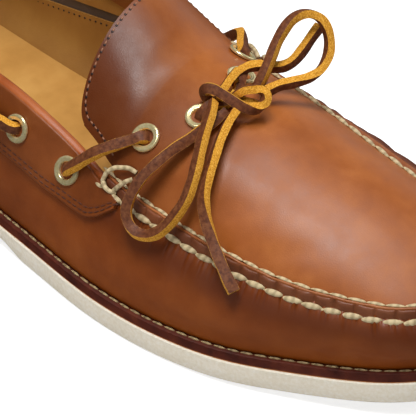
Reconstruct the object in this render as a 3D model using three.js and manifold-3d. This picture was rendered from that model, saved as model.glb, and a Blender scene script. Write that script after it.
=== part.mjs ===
// A right boat shoe: a moccasin wall sewn to a raised plug that runs on as the tongue,
// a quarter wrapped round the collar, a leather lace in metal eyelets tied in a bow,
// a stitched midsole and a rubber outsole.
// Millimetres. X points to the toe, Y to the wearer's left, Z up.
// The origin lies on the floor under the middle of the shoe.

import * as THREE from 'three';
import { mergeVertices } from 'three/addons/utils/BufferGeometryUtils.js';
import Module from 'manifold-3d';

// Driving sizes of the last and the sole
const LENGTH = 298;
const BALL_WIDTH = 106;
const HEEL_HEIGHT = 67;
const PLUG_RISE = 22;
const TOE_SPRING = 7;
const ARCH_LIFT = 2.5;

// Thicknesses and clearances
const OUTSOLE = 8;
const MIDSOLE = 3.5;
const INSOLE = 4;
const WALL = 2;
const OVERLAY = 1.5;
const GAP = 0.3;

// Edges: how far each layer is set in from the outsole's edge
const MIDSOLE_INSET = 0.6;
const LEDGE = 4.5;
const TREAD_MARGIN = 8;
const EDGE_ROUND = 1.2;

// Tread grooves across the sole
const GROOVE_WIDTH = 2.4;
const GROOVE_DEPTH = 1.5;
const GROOVE_PLACES = [-0.41, -0.363, -0.316, -0.269, -0.222, 0.013, 0.054, 0.094, 0.134];

// Eyelets and lace
const EYELET_FLANGE = 4.75;
const EYELET_BORE = 2.7;
const EYELET_TUBE = 3.0;
const EYELET_HEIGHT = 0.9;
const EYELET_DEPTH = 2.4;
const EYELET_HOLE = 3.35;
const EYELET_SEAT = 0.5;
const EYELET_SIDES = 8;
const LACE_WIDTH = 3.8;
const LACE_THICK = 2.6;
const LACE_ROUND = 3.0;
const BAR_LIFT = 0.6;
const BAR_STEPS = 8;
const SEAM_BEAD = 1.6;

// Steps of the faceted surfaces
const STEPS_PER_STATION = 3;
const WALL_ROWS = 5;
const PLUG_COLUMNS = 8;
const OVERLAY_ROWS = 3;
const BEAD_SIDES = 6;
const TONGUE_STEPS = 6;
const SOLE_ROWS = 44;

// Stations round the shoe, from the heel along the outer side to the toe and back along the inner side.
// x: share of the length from the middle; y: share of the ball width; z: share of the heel height.
const STATIONS = [
  { name: 'heel', soleX: -0.500, soleY: 0.000, topX: -0.466, topY: 0.000, topZ: 1.000 },
  { name: 'heel curve', soleX: -0.480, soleY: -0.189, topX: -0.453, topY: -0.142, topZ: 0.985 },
  { name: 'heel side', soleX: -0.430, soleY: -0.307, topX: -0.406, topY: -0.241, topZ: 0.948 },
  { name: 'heel front', soleX: -0.349, soleY: -0.354, topX: -0.332, topY: -0.292, topZ: 0.896 },
  { name: 'ankle', soleX: -0.262, soleY: -0.368, topX: -0.252, topY: -0.325, topZ: 0.858 },
  { name: 'waist', soleX: -0.168, soleY: -0.396, topX: -0.158, topY: -0.335, topZ: 0.843 },
  { name: 'waist front', soleX: -0.087, soleY: -0.434, topX: -0.081, topY: -0.335, topZ: 0.827 },
  { name: 'second eyelet', soleX: -0.017, soleY: -0.460, topX: -0.017, topY: -0.342, topZ: 0.781 },
  { name: 'first eyelet', soleX: 0.044, soleY: -0.483, topX: 0.040, topY: -0.344, topZ: 0.701 },
  { name: 'outer seam start', soleX: 0.101, soleY: -0.500, topX: 0.094, topY: -0.366, topZ: 0.651 },
  { name: 'ball', soleX: 0.161, soleY: -0.500, topX: 0.154, topY: -0.370, topZ: 0.621 },
  { name: 'ball front', soleX: 0.221, soleY: -0.481, topX: 0.215, topY: -0.362, topZ: 0.593 },
  { name: 'small toes', soleX: 0.282, soleY: -0.439, topX: 0.275, topY: -0.340, topZ: 0.567 },
  { name: 'outer toes', soleX: 0.339, soleY: -0.368, topX: 0.332, topY: -0.300, topZ: 0.546 },
  { name: 'outer toe curve', soleX: 0.396, soleY: -0.286, topX: 0.383, topY: -0.238, topZ: 0.533 },
  { name: 'outer toe front', soleX: 0.446, soleY: -0.192, topX: 0.426, topY: -0.166, topZ: 0.527 },
  { name: 'toe side', soleX: 0.483, soleY: -0.066, topX: 0.455, topY: -0.071, topZ: 0.536 },
  { name: 'toe', soleX: 0.500, soleY: 0.066, topX: 0.465, topY: 0.038, topZ: 0.553 },
  { name: 'big toe front', soleX: 0.492, soleY: 0.198, topX: 0.456, topY: 0.146, topZ: 0.566 },
  { name: 'big toe curve', soleX: 0.463, soleY: 0.316, topX: 0.431, topY: 0.226, topZ: 0.575 },
  { name: 'big toe', soleX: 0.416, soleY: 0.410, topX: 0.389, topY: 0.281, topZ: 0.587 },
  { name: 'big toe joint front', soleX: 0.352, soleY: 0.470, topX: 0.332, topY: 0.302, topZ: 0.606 },
  { name: 'big toe joint', soleX: 0.282, soleY: 0.4985, topX: 0.268, topY: 0.311, topZ: 0.631 },
  { name: 'inner ball', soleX: 0.208, soleY: 0.4995, topX: 0.195, topY: 0.315, topZ: 0.672 },
  { name: 'inner ball back', soleX: 0.134, soleY: 0.467, topX: 0.124, topY: 0.313, topZ: 0.704 },
  { name: 'inner seam start', soleX: 0.067, soleY: 0.415, topX: 0.060, topY: 0.325, topZ: 0.722 },
  { name: 'inner first eyelet', soleX: 0.000, soleY: 0.361, topX: -0.003, topY: 0.325, topZ: 0.761 },
  { name: 'inner second eyelet', soleX: -0.074, soleY: 0.328, topX: -0.074, topY: 0.321, topZ: 0.821 },
  { name: 'arch', soleX: -0.161, soleY: 0.321, topX: -0.161, topY: 0.316, topZ: 0.858 },
  { name: 'inner ankle', soleX: -0.255, soleY: 0.335, topX: -0.252, topY: 0.307, topZ: 0.881 },
  { name: 'inner heel front', soleX: -0.342, soleY: 0.349, topX: -0.332, topY: 0.283, topZ: 0.910 },
  { name: 'inner heel side', soleX: -0.419, soleY: 0.321, topX: -0.399, topY: 0.241, topZ: 0.952 },
  { name: 'inner heel curve', soleX: -0.477, soleY: 0.198, topX: -0.450, topY: 0.142, topZ: 0.988 },
];
const ROUND = STATIONS.length;
const OUTER_SEAM = STATIONS.findIndex((station) => station.name === 'outer seam start');
const TOE = STATIONS.findIndex((station) => station.name === 'toe');
const INNER_SEAM = STATIONS.findIndex((station) => station.name === 'inner seam start');

// The tongue's rows behind the throat: its outer and inner side, in the same shares, and its rise
const TONGUE_ROWS = [
  { outerX: 0.054, outerY: -0.324, outerZ: 0.663, innerX: 0.022, innerY: 0.318, innerZ: 0.769, rise: 1.09 },
  { outerX: 0.017, outerY: -0.298, outerZ: 0.700, innerX: -0.015, innerY: 0.305, innerZ: 0.840, rise: 1.14 },
  { outerX: -0.017, outerY: -0.267, outerZ: 0.781, innerX: -0.047, innerY: 0.281, innerZ: 0.918, rise: 1.05 },
];
const TONGUE_TIP = 2.2;
const TONGUE_HALF = 0.935;

// Eyelets of each quarter: station and share of the wall's height
const OUTER_EYELETS = [
  { name: 'a', station: 7.96, up: 0.73 },
  { name: 'b', station: 6.66, up: 0.71 },
  { name: 'c', station: 5.38, up: 0.69 },
  { name: 'd', station: 4.78, up: 0.69 },
  { name: 'e', station: 3.60, up: 0.66 },
];
const INNER_EYELETS = [
  { name: 'a', station: 26.05, up: 0.70 },
  { name: 'b', station: 27.25, up: 0.63 },
  { name: 'c', station: 28.35, up: 0.62 },
  { name: 'd', station: 28.90, up: 0.62 },
  { name: 'e', station: 30.05, up: 0.62 },
];
// Eyelets of the tongue: share from toe to throat, and share from the middle to the side
const TONGUE_EYELETS = [
  { name: 'outer', row: 0.96, across: -0.67 },
  { name: 'mid_outer', row: 0.88, across: -0.28 },
  { name: 'mid_inner', row: 0.89, across: 0.35 },
  { name: 'inner', row: 0.96, across: 0.70 },
];

// Edges of the quarter's overlay: distance in stations from its front end, and shares of the wall
const OVERLAY_EDGE = [
  { back: 0.00, low: 0.80, high: 0.88 },
  { back: 0.14, low: 0.71, high: 0.91 },
  { back: 0.34, low: 0.61, high: 0.92 },
  { back: 0.61, low: 0.53, high: 0.94 },
  { back: 1.10, low: 0.49, high: 0.985 },
  { back: 1.90, low: 0.45, high: 0.985 },
  { back: 9.50, low: 0.45, high: 0.985 },
];
const OVERLAY_PAST_SEAM = 0.34;

// The bow: points of each stretch, from the knot outwards
const KNOT = { x: 46.5, y: -2.2, z: 67.7, long: 9.5, wide: 5.0, high: 3.4, turn: 0.76 };
const NEAR_LOOP = [
  [48.5, -8.6, 66.3], [48.0, -13.2, 64.3], [47.5, -17.7, 63.6], [46.8, -22.7, 62.4], [45.4, -29.3, 60.6],
  [43.9, -35.6, 57.4], [42.3, -40.1, 53.5], [41.6, -43.6, 48.8], [41.9, -45.8, 44.7], [44.0, -47.0, 41.5],
  [47.5, -47.3, 39.9], [51.7, -46.4, 40.5], [55.5, -44.9, 43.4], [58.0, -42.2, 47.6], [59.3, -38.0, 52.9],
  [58.3, -33.5, 57.9], [56.0, -28.8, 62.1], [52.9, -23.6, 65.6], [50.4, -19.0, 67.6], [47.8, -14.4, 68.6],
  [45.0, -10.4, 69.0],
];
const NEAR_END = [
  [51.3, -5.9, 67.6], [53.4, -12.2, 66.9], [55.6, -18.2, 64.8], [58.8, -24.8, 61.5], [61.2, -30.2, 58.0],
  [63.9, -34.5, 54.2], [67.8, -37.5, 50.3], [72.4, -39.6, 46.3], [77.4, -41.5, 42.4], [82.2, -43.0, 38.6],
  [85.6, -43.7, 35.9],
];
const FAR_LOOP = [
  [48.7, 5.8, 68.6], [48.5, 8.6, 71.6], [47.7, 11.9, 74.5], [46.2, 17.1, 78.7], [45.9, 22.4, 82.5],
  [46.8, 26.4, 83.8], [48.7, 29.3, 83.6], [51.1, 31.4, 81.8], [53.3, 31.8, 78.9], [55.2, 31.0, 75.2],
  [56.9, 28.5, 72.0], [57.9, 24.2, 69.6], [57.4, 19.9, 68.6], [55.7, 15.3, 68.4], [53.5, 10.4, 68.5],
  [51.9, 6.3, 67.6],
];
const FAR_END = [
  [42.4, 2.1, 67.7], [40.4, 4.0, 68.6], [40.2, 6.9, 69.2], [41.1, 9.7, 69.7], [43.1, 12.4, 69.8],
  [45.8, 15.0, 69.2], [48.1, 17.9, 69.2], [49.3, 21.2, 70.3], [49.5, 25.1, 72.5], [49.4, 29.2, 75.3],
  [49.3, 33.0, 77.5],
];

const FLOOR_TO_UPPER = OUTSOLE + MIDSOLE + GAP;

const wasm = await Module();
wasm.setup();

// Colours and finishes
const chestnut = new THREE.MeshStandardMaterial({ color: '#9c4f26', roughness: 0.42, metalness: 0 });
const chestnutDark = new THREE.MeshStandardMaterial({ color: '#7e3b1e', roughness: 0.42, metalness: 0 });
const creamRubber = new THREE.MeshStandardMaterial({ color: '#e8ddc8', roughness: 0.8, metalness: 0 });
const brownMidsole = new THREE.MeshStandardMaterial({ color: '#46201a', roughness: 0.55, metalness: 0 });
const tanLining = new THREE.MeshStandardMaterial({ color: '#c08a42', roughness: 0.6, metalness: 0 });
const laceBrown = new THREE.MeshStandardMaterial({ color: '#6a3c2c', roughness: 0.7, metalness: 0 });
const goldBrass = new THREE.MeshStandardMaterial({ color: '#d8c48a', roughness: 0.3, metalness: 1 });

// A smooth closed curve through a list of rows of numbers
function smoothRound(rows) {
  let controls = rows.map((row) => [...row]);
  const count = rows.length;
  for (let pass = 0; pass < 60; pass += 1) {
    controls = controls.map((control, i) => control.map((value, k) => {
      const sides = controls[(i + count - 1) % count][k] + controls[(i + 1) % count][k];
      return value + 0.6 * ((6 * rows[i][k] - sides) / 4 - value);
    }));
  }
  return (t) => {
    const cell = Math.floor(t);
    const f = t - cell;
    const weights = [
      (1 - f) ** 3 / 6,
      (3 * f ** 3 - 6 * f * f + 4) / 6,
      (-3 * f ** 3 + 3 * f * f + 3 * f + 1) / 6,
      f ** 3 / 6,
    ];
    return rows[0].map((_, k) => weights.reduce((sum, weight, n) => {
      const index = (((cell + n - 1) % count) + count) % count;
      return sum + weight * controls[index][k];
    }, 0));
  };
}

const soleCurve = smoothRound(STATIONS.map((s) => [s.soleX * LENGTH, s.soleY * BALL_WIDTH]));
const topCurve = smoothRound(STATIONS.map((s) => [
  s.topX * LENGTH, s.topY * BALL_WIDTH, s.topZ * HEEL_HEIGHT,
]));

// Height of the underside: the toe springs up from a flat forefoot, the arch is relieved
function toeSpring(x) {
  const start = 0.15 * LENGTH;
  const share = THREE.MathUtils.clamp((x - start) / (LENGTH / 2 - start), 0, 1);
  return TOE_SPRING * share * share;
}
function archLift(x) {
  const rise = THREE.MathUtils.smoothstep(x, -0.195 * LENGTH, -0.155 * LENGTH);
  const fall = THREE.MathUtils.smoothstep(x, -0.05 * LENGTH, -0.01 * LENGTH);
  return ARCH_LIFT * (rise - fall);
}

function outward(station) {
  const step = 0.001;
  const [x0, y0] = soleCurve(station - step);
  const [x1, y1] = soleCurve(station + step);
  return new THREE.Vector3(y1 - y0, x0 - x1, 0).normalize();
}
function soleEdge(station, inset, height) {
  const [x, y] = soleCurve(station);
  const edge = new THREE.Vector3(x, y, 0).addScaledVector(outward(station), -inset);
  edge.z = height(edge.x);
  return edge;
}
function topEdge(station) {
  return new THREE.Vector3(...topCurve(station));
}

// Outer face of the wall: station round the shoe, and share of the way up from the midsole
function foreShare(station) {
  const back = THREE.MathUtils.smoothstep(station, OUTER_SEAM - 1, OUTER_SEAM + 2);
  const front = THREE.MathUtils.smoothstep(ROUND - station, ROUND - INNER_SEAM - 1, ROUND - INNER_SEAM + 2);
  return back * front;
}
function wallPoint(around, up) {
  const station = ((around % ROUND) + ROUND) % ROUND;
  const foot = soleEdge(station, LEDGE, (x) => FLOOR_TO_UPPER + toeSpring(x));
  const top = topEdge(station);
  const out = outward(station);
  const fore = foreShare(station);
  const inner = THREE.MathUtils.clamp((station - TOE) / 4, 0, 1);
  const rise = top.z - foot.z;
  const low = foot.clone().addScaledVector(out, 4.5 + 1.5 * fore);
  low.z += 0.38 * rise;
  const high = top.clone().addScaledVector(out, 2 + (6 + 3 * inner) * fore);
  high.z -= 0.16 * rise;
  return new THREE.CubicBezierCurve3(foot, low, high, top).getPoint(up);
}

// Top face of the plug (row 0 at the toe, 1 at the throat) and of the tongue behind it (row over 1)
function plugRise(x) {
  const depth = topEdge(TOE).x - x;
  return PLUG_RISE * (1 - Math.exp(-depth / (0.14 * LENGTH)));
}
function sheetSides(row) {
  const outer = topEdge(TOE - (TOE - OUTER_SEAM) * row);
  const inner = topEdge(TOE + (INNER_SEAM - TOE) * row);
  return [...outer.toArray(), ...inner.toArray(), plugRise((outer.x + inner.x) / 2)];
}
const tongueRows = [
  sheetSides(1 - 1 / (TOE - OUTER_SEAM)),
  sheetSides(1),
  ...TONGUE_ROWS.map((r) => [
    r.outerX * LENGTH, r.outerY * BALL_WIDTH, r.outerZ * HEEL_HEIGHT,
    r.innerX * LENGTH, r.innerY * BALL_WIDTH, r.innerZ * HEEL_HEIGHT, r.rise * PLUG_RISE,
  ]),
];
function tongueSides(back) {
  const cell = Math.min(Math.floor(back), TONGUE_ROWS.length - 1);
  const f = back - cell;
  const at = (n) => tongueRows[Math.min(n, tongueRows.length - 1)];
  return at(0).map((_, k) => {
    const [a, b, c, d] = [at(cell)[k], at(cell + 1)[k], at(cell + 2)[k], at(cell + 3)[k]];
    return 0.5 * (2 * b + (c - a) * f + (2 * a - 5 * b + 4 * c - d) * f * f + (3 * b - a - 3 * c + d) * f ** 3);
  });
}
function sheetPoint(row, across) {
  const sides = row <= 1 ? sheetSides(row) : tongueSides(row - 1);
  const point = new THREE.Vector3(sides[0], sides[1], sides[2])
    .lerp(new THREE.Vector3(sides[3], sides[4], sides[5]), (across + 1) / 2);
  point.z += sides[6] * Math.max(0, 1 - Math.abs(across) ** 2.3) ** 0.85;
  return point;
}

// Unit normal of a surface function, on the side of a given direction
function normalOf(surface, a, b, toward) {
  const step = 0.002;
  const alongA = surface(a + step, b).sub(surface(a - step, b));
  const alongB = surface(a, b + step).sub(surface(a, b - step));
  const normal = alongA.cross(alongB).normalize();
  return normal.dot(toward) < 0 ? normal.negate() : normal;
}
function wallNormal(around, up) {
  return normalOf(wallPoint, around, THREE.MathUtils.clamp(up, 0.01, 0.99), outward(around));
}
function wallOffset(around, up, distance) {
  return wallPoint(around, up).addScaledVector(wallNormal(around, up), distance);
}
function sheetNormal(row, across) {
  return normalOf(sheetPoint, row, across, new THREE.Vector3(0, 0, 1));
}
function sheetOffset(row, across, distance) {
  return sheetPoint(row, across).addScaledVector(sheetNormal(row, across), distance);
}

// A closed body from rings of points; the ends are capped unless the rings close on themselves
function loft(rings, closed) {
  const points = [];
  const corners = [];
  const size = rings[0].length;
  rings.forEach((ring) => ring.forEach((p) => points.push(p.x, p.y, p.z)));
  const last = closed ? rings.length : rings.length - 1;
  for (let i = 0; i < last; i += 1) {
    const next = (i + 1) % rings.length;
    for (let j = 0; j < size; j += 1) {
      const side = (j + 1) % size;
      corners.push(i * size + j, next * size + j, next * size + side);
      corners.push(i * size + j, next * size + side, i * size + side);
    }
  }
  if (!closed) {
    const end = (rings.length - 1) * size;
    for (let j = 1; j < size / 2; j += 1) {
      const a = j - 1;
      const b = size - j;
      corners.push(a, j, b - 1, a, b - 1, b);
      corners.push(end + a, end + b - 1, end + j, end + a, end + b, end + b - 1);
    }
  }
  const geometry = new THREE.BufferGeometry();
  geometry.setAttribute('position', new THREE.Float32BufferAttribute(points, 3));
  geometry.setIndex(corners);
  return tidied(geometry);
}

// Merges shared points, drops triangles without area and turns the faces outwards
function tidied(source) {
  const bare = new THREE.BufferGeometry();
  bare.setAttribute('position', source.getAttribute('position').clone());
  bare.setIndex(source.getIndex() ? [...source.getIndex().array] : null);
  const merged = mergeVertices(bare, 1e-4);
  const index = merged.getIndex().array;
  const corners = [];
  for (let t = 0; t < index.length; t += 3) {
    const [a, b, c] = [index[t], index[t + 1], index[t + 2]];
    if (a !== b && b !== c && c !== a) corners.push(a, b, c);
  }
  const position = merged.getAttribute('position');
  const corner = (i) => new THREE.Vector3().fromBufferAttribute(position, i);
  let volume = 0;
  for (let t = 0; t < corners.length; t += 3) {
    volume += corner(corners[t]).dot(corner(corners[t + 1]).cross(corner(corners[t + 2])));
  }
  if (volume < 0) corners.reverse();
  merged.setIndex(corners);
  return merged;
}

function toSolid(geometry) {
  const vertProperties = new Float32Array(geometry.getAttribute('position').array);
  const triVerts = new Uint32Array(geometry.getIndex().array);
  return new wasm.Manifold(new wasm.Mesh({ numProp: 3, vertProperties, triVerts }));
}
function toGeometry(solid) {
  const mesh = solid.getMesh();
  const geometry = new THREE.BufferGeometry();
  geometry.setAttribute('position', new THREE.Float32BufferAttribute(mesh.vertProperties, 3));
  geometry.setIndex([...mesh.triVerts]);
  return geometry;
}

const shoe = new THREE.Group();
function addPiece(name, geometry, material) {
  const piece = new THREE.Mesh(geometry, material);
  piece.name = name;
  shoe.add(piece);
  return piece;
}
function steps(from, to, count) {
  return Array.from({ length: count + 1 }, (_, i) => from + ((to - from) * i) / count);
}

// A flat layer of the sole: rings across the shoe, from the heel to the toe.
// Each level holds how far it is set in from the edge, and its height as a function of x.
function soleLayer(levels) {
  const rings = steps(0, 1, SOLE_ROWS).map((share) => {
    const outer = levels.map((level) => soleEdge(TOE * share, level.inset, level.height));
    const inner = levels.map((level) => soleEdge(ROUND - (ROUND - TOE) * share, level.inset, level.height));
    return [...outer, ...inner.reverse()];
  });
  return loft(rings, false);
}

function sideAt(x, from, to) {
  let near = from;
  let far = to;
  for (let pass = 0; pass < 30; pass += 1) {
    const middle = (near + far) / 2;
    if (soleCurve(middle)[0] < x) near = middle;
    else far = middle;
  }
  return soleCurve(near)[1];
}

// Rubber outsole with a flat heel, a relieved arch, a flat forefoot, toe spring and grooves
const underside = (x) => toeSpring(x) + archLift(x);
let outsole = toSolid(soleLayer([
  { inset: EDGE_ROUND, height: underside },
  { inset: 0, height: (x) => underside(x) + EDGE_ROUND },
  { inset: 0, height: (x) => toeSpring(x) + OUTSOLE },
]));
GROOVE_PLACES.forEach((place) => {
  const x = place * LENGTH;
  const outer = sideAt(x, 0, TOE) + TREAD_MARGIN;
  const inner = sideAt(x, ROUND, TOE) - TREAD_MARGIN;
  const groove = new THREE.BoxGeometry(GROOVE_WIDTH, inner - outer, 2 * GROOVE_DEPTH);
  groove.translate(x, (outer + inner) / 2, 0);
  outsole = outsole.subtract(toSolid(tidied(groove)));
});
addPiece('outsole', toGeometry(outsole), creamRubber);

// Midsole, whose rim carries the welt stitches
addPiece('midsole', soleLayer([
  { inset: MIDSOLE_INSET, height: (x) => toeSpring(x) + OUTSOLE + GAP },
  { inset: MIDSOLE_INSET, height: (x) => toeSpring(x) + OUTSOLE + MIDSOLE },
]), brownMidsole);

// Insole inside the wall
const insoleInset = LEDGE + WALL + 2 * GAP;
addPiece('insole', soleLayer([
  { inset: insoleInset, height: (x) => toeSpring(x) + FLOOR_TO_UPPER },
  { inset: insoleInset, height: (x) => toeSpring(x) + FLOOR_TO_UPPER + INSOLE },
]), tanLining);

// A sheet of leather between two distances from the wall, as a section at one station
function wallSection(around, low, high, outerFace, innerFace, rows) {
  const levels = steps(low, high, rows);
  const outer = levels.map((up) => wallOffset(around, up, outerFace));
  const inner = levels.map((up) => wallOffset(around, up, innerFace));
  return [...outer, ...inner.reverse()];
}
function sheetSection(row, half, outerFace, innerFace, columns) {
  const places = steps(-half, half, columns);
  const top = places.map((across) => sheetOffset(row, across, outerFace));
  const bottom = places.map((across) => sheetOffset(row, across, innerFace));
  return [...top, ...bottom.reverse()];
}

// The upper: wall, plug and the raised seam between them are one hollow body
const wallRings = steps(0, ROUND, ROUND * STEPS_PER_STATION).slice(0, -1)
  .map((around) => wallSection(around, 0, 1, 0, -WALL, WALL_ROWS));
const plugRings = steps(0.02, 1, 2 * (TOE - OUTER_SEAM))
  .map((row) => sheetSection(row, 0.995, 0, -WALL, PLUG_COLUMNS));
const beadRings = steps(OUTER_SEAM, INNER_SEAM, 2 * (INNER_SEAM - OUTER_SEAM)).map((station) => {
  const centre = topEdge(station);
  const out = outward(station);
  return steps(0, 2 * Math.PI, BEAD_SIDES).slice(0, -1).map((angle) => centre.clone()
    .addScaledVector(out, SEAM_BEAD * Math.cos(angle))
    .setZ(centre.z + SEAM_BEAD * Math.sin(angle)));
});
let upper = toSolid(loft(wallRings, true))
  .add(toSolid(loft(plugRings, false)))
  .add(toSolid(loft(beadRings, false)));

// The quarter, wrapped from one end of the seam round the heel to the other
function overlayLimits(back) {
  const next = Math.max(1, OVERLAY_EDGE.findIndex((place) => place.back >= back));
  const a = OVERLAY_EDGE[next - 1];
  const b = OVERLAY_EDGE[next];
  const share = (back - a.back) / (b.back - a.back);
  return [a.low + (b.low - a.low) * share, a.high + (b.high - a.high) * share];
}
const overlayFront = OUTER_SEAM + OVERLAY_PAST_SEAM;
const overlayEnd = INNER_SEAM - ROUND - OVERLAY_PAST_SEAM;
const overlayStations = [
  ...OVERLAY_EDGE.slice(0, 4).map((place) => overlayFront - place.back),
  ...steps(OUTER_SEAM - 1, INNER_SEAM - ROUND + 1, 15 * STEPS_PER_STATION),
  ...OVERLAY_EDGE.slice(0, 4).reverse().map((place) => overlayEnd + place.back),
];
let quarter = toSolid(loft(overlayStations.map((station) => {
  const [low, high] = overlayLimits(Math.min(overlayFront - station, station - overlayEnd));
  return wallSection(station, low, high, GAP + OVERLAY, GAP, OVERLAY_ROWS);
}), false));

// Eyelets, with a hole bored for each
const eyeletProfile = [
  [EYELET_BORE, -EYELET_DEPTH], [EYELET_TUBE, -EYELET_DEPTH], [EYELET_TUBE, 0],
  [EYELET_FLANGE, 0], [EYELET_FLANGE - 0.4, EYELET_HEIGHT], [EYELET_BORE, EYELET_HEIGHT],
  [EYELET_BORE, -EYELET_DEPTH],
].map(([radius, height]) => new THREE.Vector2(radius, height));
function placed(geometry, seat) {
  const turn = new THREE.Quaternion().setFromUnitVectors(new THREE.Vector3(0, 1, 0), seat.normal);
  return geometry.applyQuaternion(turn).translate(...seat.base.toArray());
}
function addEyelet(name, seat) {
  addPiece(name, placed(tidied(new THREE.LatheGeometry(eyeletProfile, EYELET_SIDES)), seat), goldBrass);
  return toSolid(placed(tidied(new THREE.CylinderGeometry(EYELET_HOLE, EYELET_HOLE, 14, EYELET_SIDES)), seat));
}
function wallSeat(eyelet) {
  const normal = wallNormal(eyelet.station, eyelet.up);
  const base = wallPoint(eyelet.station, eyelet.up).addScaledVector(normal, GAP + OVERLAY + EYELET_SEAT);
  return { base, normal };
}
function sheetSeat(eyelet) {
  const normal = sheetNormal(eyelet.row, eyelet.across);
  return { base: sheetPoint(eyelet.row, eyelet.across).addScaledVector(normal, EYELET_SEAT), normal };
}
const seats = {};
[['outer', OUTER_EYELETS], ['inner', INNER_EYELETS]].forEach(([side, eyelets]) => {
  eyelets.forEach((eyelet) => {
    const seat = wallSeat(eyelet);
    const hole = addEyelet(`eyelet_${side}_${eyelet.name}`, seat);
    seats[`${side}_${eyelet.name}`] = seat;
    quarter = quarter.subtract(hole);
    upper = upper.subtract(hole);
  });
});
TONGUE_EYELETS.forEach((eyelet) => {
  const seat = sheetSeat(eyelet);
  seats[`tongue_${eyelet.name}`] = seat;
  upper = upper.subtract(addEyelet(`eyelet_tongue_${eyelet.name}`, seat));
});
addPiece('upper', toGeometry(upper), chestnut);
addPiece('quarter', toGeometry(quarter), chestnutDark);

// The tongue: the plug's leather, free behind the throat, with round corners
const throatGap = (2 * GAP) / sheetPoint(1, 0).distanceTo(sheetPoint(2, 0));
const tongueColumns = [-1, -0.965, -0.9, -0.8, -0.6, -0.4, -0.2, 0, 0.2, 0.4, 0.6, 0.8, 0.9, 0.965, 1]
  .map((share) => share * TONGUE_HALF);
const tongueRings = tongueColumns.map((across) => {
  const share = Math.abs(across / TONGUE_HALF);
  const tip = TONGUE_TIP * Math.max(0.79, (1 - share ** 7) ** (1 / 14));
  const rows = steps(1 + throatGap, 1 + tip, TONGUE_STEPS);
  const top = rows.map((row) => sheetOffset(row, across, 0));
  const bottom = rows.map((row) => sheetOffset(row, across, -WALL));
  return [...top, ...bottom.reverse()];
});
addPiece('tongue', loft(tongueRings, false), chestnut);

// Lace bars: flat strips from eyelet to eyelet, clear of what they pass
function flatStrip(path, widthAt) {
  const rings = steps(0, 1, BAR_STEPS).map((t) => {
    const centre = path.getPoint(t);
    const along = path.getTangent(t);
    const flat = widthAt(t);
    const side = along.clone().cross(flat).normalize();
    const up = side.clone().cross(along).normalize();
    return [[1, 1], [-1, 1], [-1, -1], [1, -1]].map(([a, b]) => centre.clone()
      .addScaledVector(side, (a * LACE_WIDTH) / 2)
      .addScaledVector(up, (b * LACE_THICK) / 2));
  });
  return loft(rings, false);
}
function addBar(name, from, to, arch) {
  const lift = EYELET_HEIGHT + BAR_LIFT + LACE_THICK / 2;
  const start = from.base.clone().addScaledVector(from.normal, lift);
  const end = to.base.clone().addScaledVector(to.normal, lift);
  const middleNormal = from.normal.clone().add(to.normal).normalize();
  const middle = start.clone().lerp(end, 0.5).addScaledVector(middleNormal, arch);
  const path = new THREE.QuadraticBezierCurve3(start, middle, end);
  addPiece(name, flatStrip(path, (t) => from.normal.clone().lerp(to.normal, t)), laceBrown);
}
addBar('lace_front_outer', seats.outer_a, seats.tongue_outer, 4);
addBar('lace_front_inner', seats.inner_a, seats.tongue_inner, 9);
addBar('lace_side_outer_front', seats.outer_b, seats.outer_c, 1);
addBar('lace_side_outer_back', seats.outer_d, seats.outer_e, 1);
addBar('lace_side_inner_front', seats.inner_b, seats.inner_c, 1);
addBar('lace_side_inner_back', seats.inner_d, seats.inner_e, 1);

// The bow: a knot, two loops and two ends
const knot = new THREE.SphereGeometry(1, 14, 8);
knot.scale(KNOT.long, KNOT.wide, KNOT.high).rotateZ(KNOT.turn).translate(KNOT.x, KNOT.y, KNOT.z);
addPiece('lace_knot', tidied(knot), laceBrown);

const laceSection = new THREE.Shape(steps(0, 2 * Math.PI, 8).slice(0, -1).map((angle) => new THREE.Vector2(
  (LACE_ROUND / 2) * Math.cos(angle),
  (LACE_ROUND / 2) * Math.sin(angle),
)));
function addCord(name, points) {
  const extrudePath = new THREE.CatmullRomCurve3(points.map((p) => new THREE.Vector3(...p)));
  const cord = new THREE.ExtrudeGeometry(laceSection, { steps: 2 * (points.length - 1), extrudePath });
  addPiece(name, tidied(cord), laceBrown);
}
addCord('lace_loop_near', NEAR_LOOP);
addCord('lace_end_near', NEAR_END);
addCord('lace_loop_far', FAR_LOOP);
addCord('lace_end_far', FAR_END);

export default shoe;
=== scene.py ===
"""A right boat shoe in brown pull-up leather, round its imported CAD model.

Lengths are millimetres until a mesh is made. X points to the toe, Y to the inner side, Z up.
"""

import math

import bmesh
import bpy
import numpy as np
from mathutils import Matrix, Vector


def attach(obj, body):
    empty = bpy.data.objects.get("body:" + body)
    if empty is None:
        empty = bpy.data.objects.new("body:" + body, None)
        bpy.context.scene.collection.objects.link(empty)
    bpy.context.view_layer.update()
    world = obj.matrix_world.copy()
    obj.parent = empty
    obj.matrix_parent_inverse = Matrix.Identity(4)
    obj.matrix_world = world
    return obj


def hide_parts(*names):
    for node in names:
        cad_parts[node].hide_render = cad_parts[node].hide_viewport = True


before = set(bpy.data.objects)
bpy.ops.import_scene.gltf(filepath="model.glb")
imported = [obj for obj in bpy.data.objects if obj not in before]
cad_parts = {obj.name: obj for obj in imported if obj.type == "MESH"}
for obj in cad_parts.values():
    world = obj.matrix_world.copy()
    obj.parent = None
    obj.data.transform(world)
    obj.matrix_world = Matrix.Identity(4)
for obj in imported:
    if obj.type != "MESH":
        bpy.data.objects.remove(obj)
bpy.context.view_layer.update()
MM = 0.001

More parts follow.
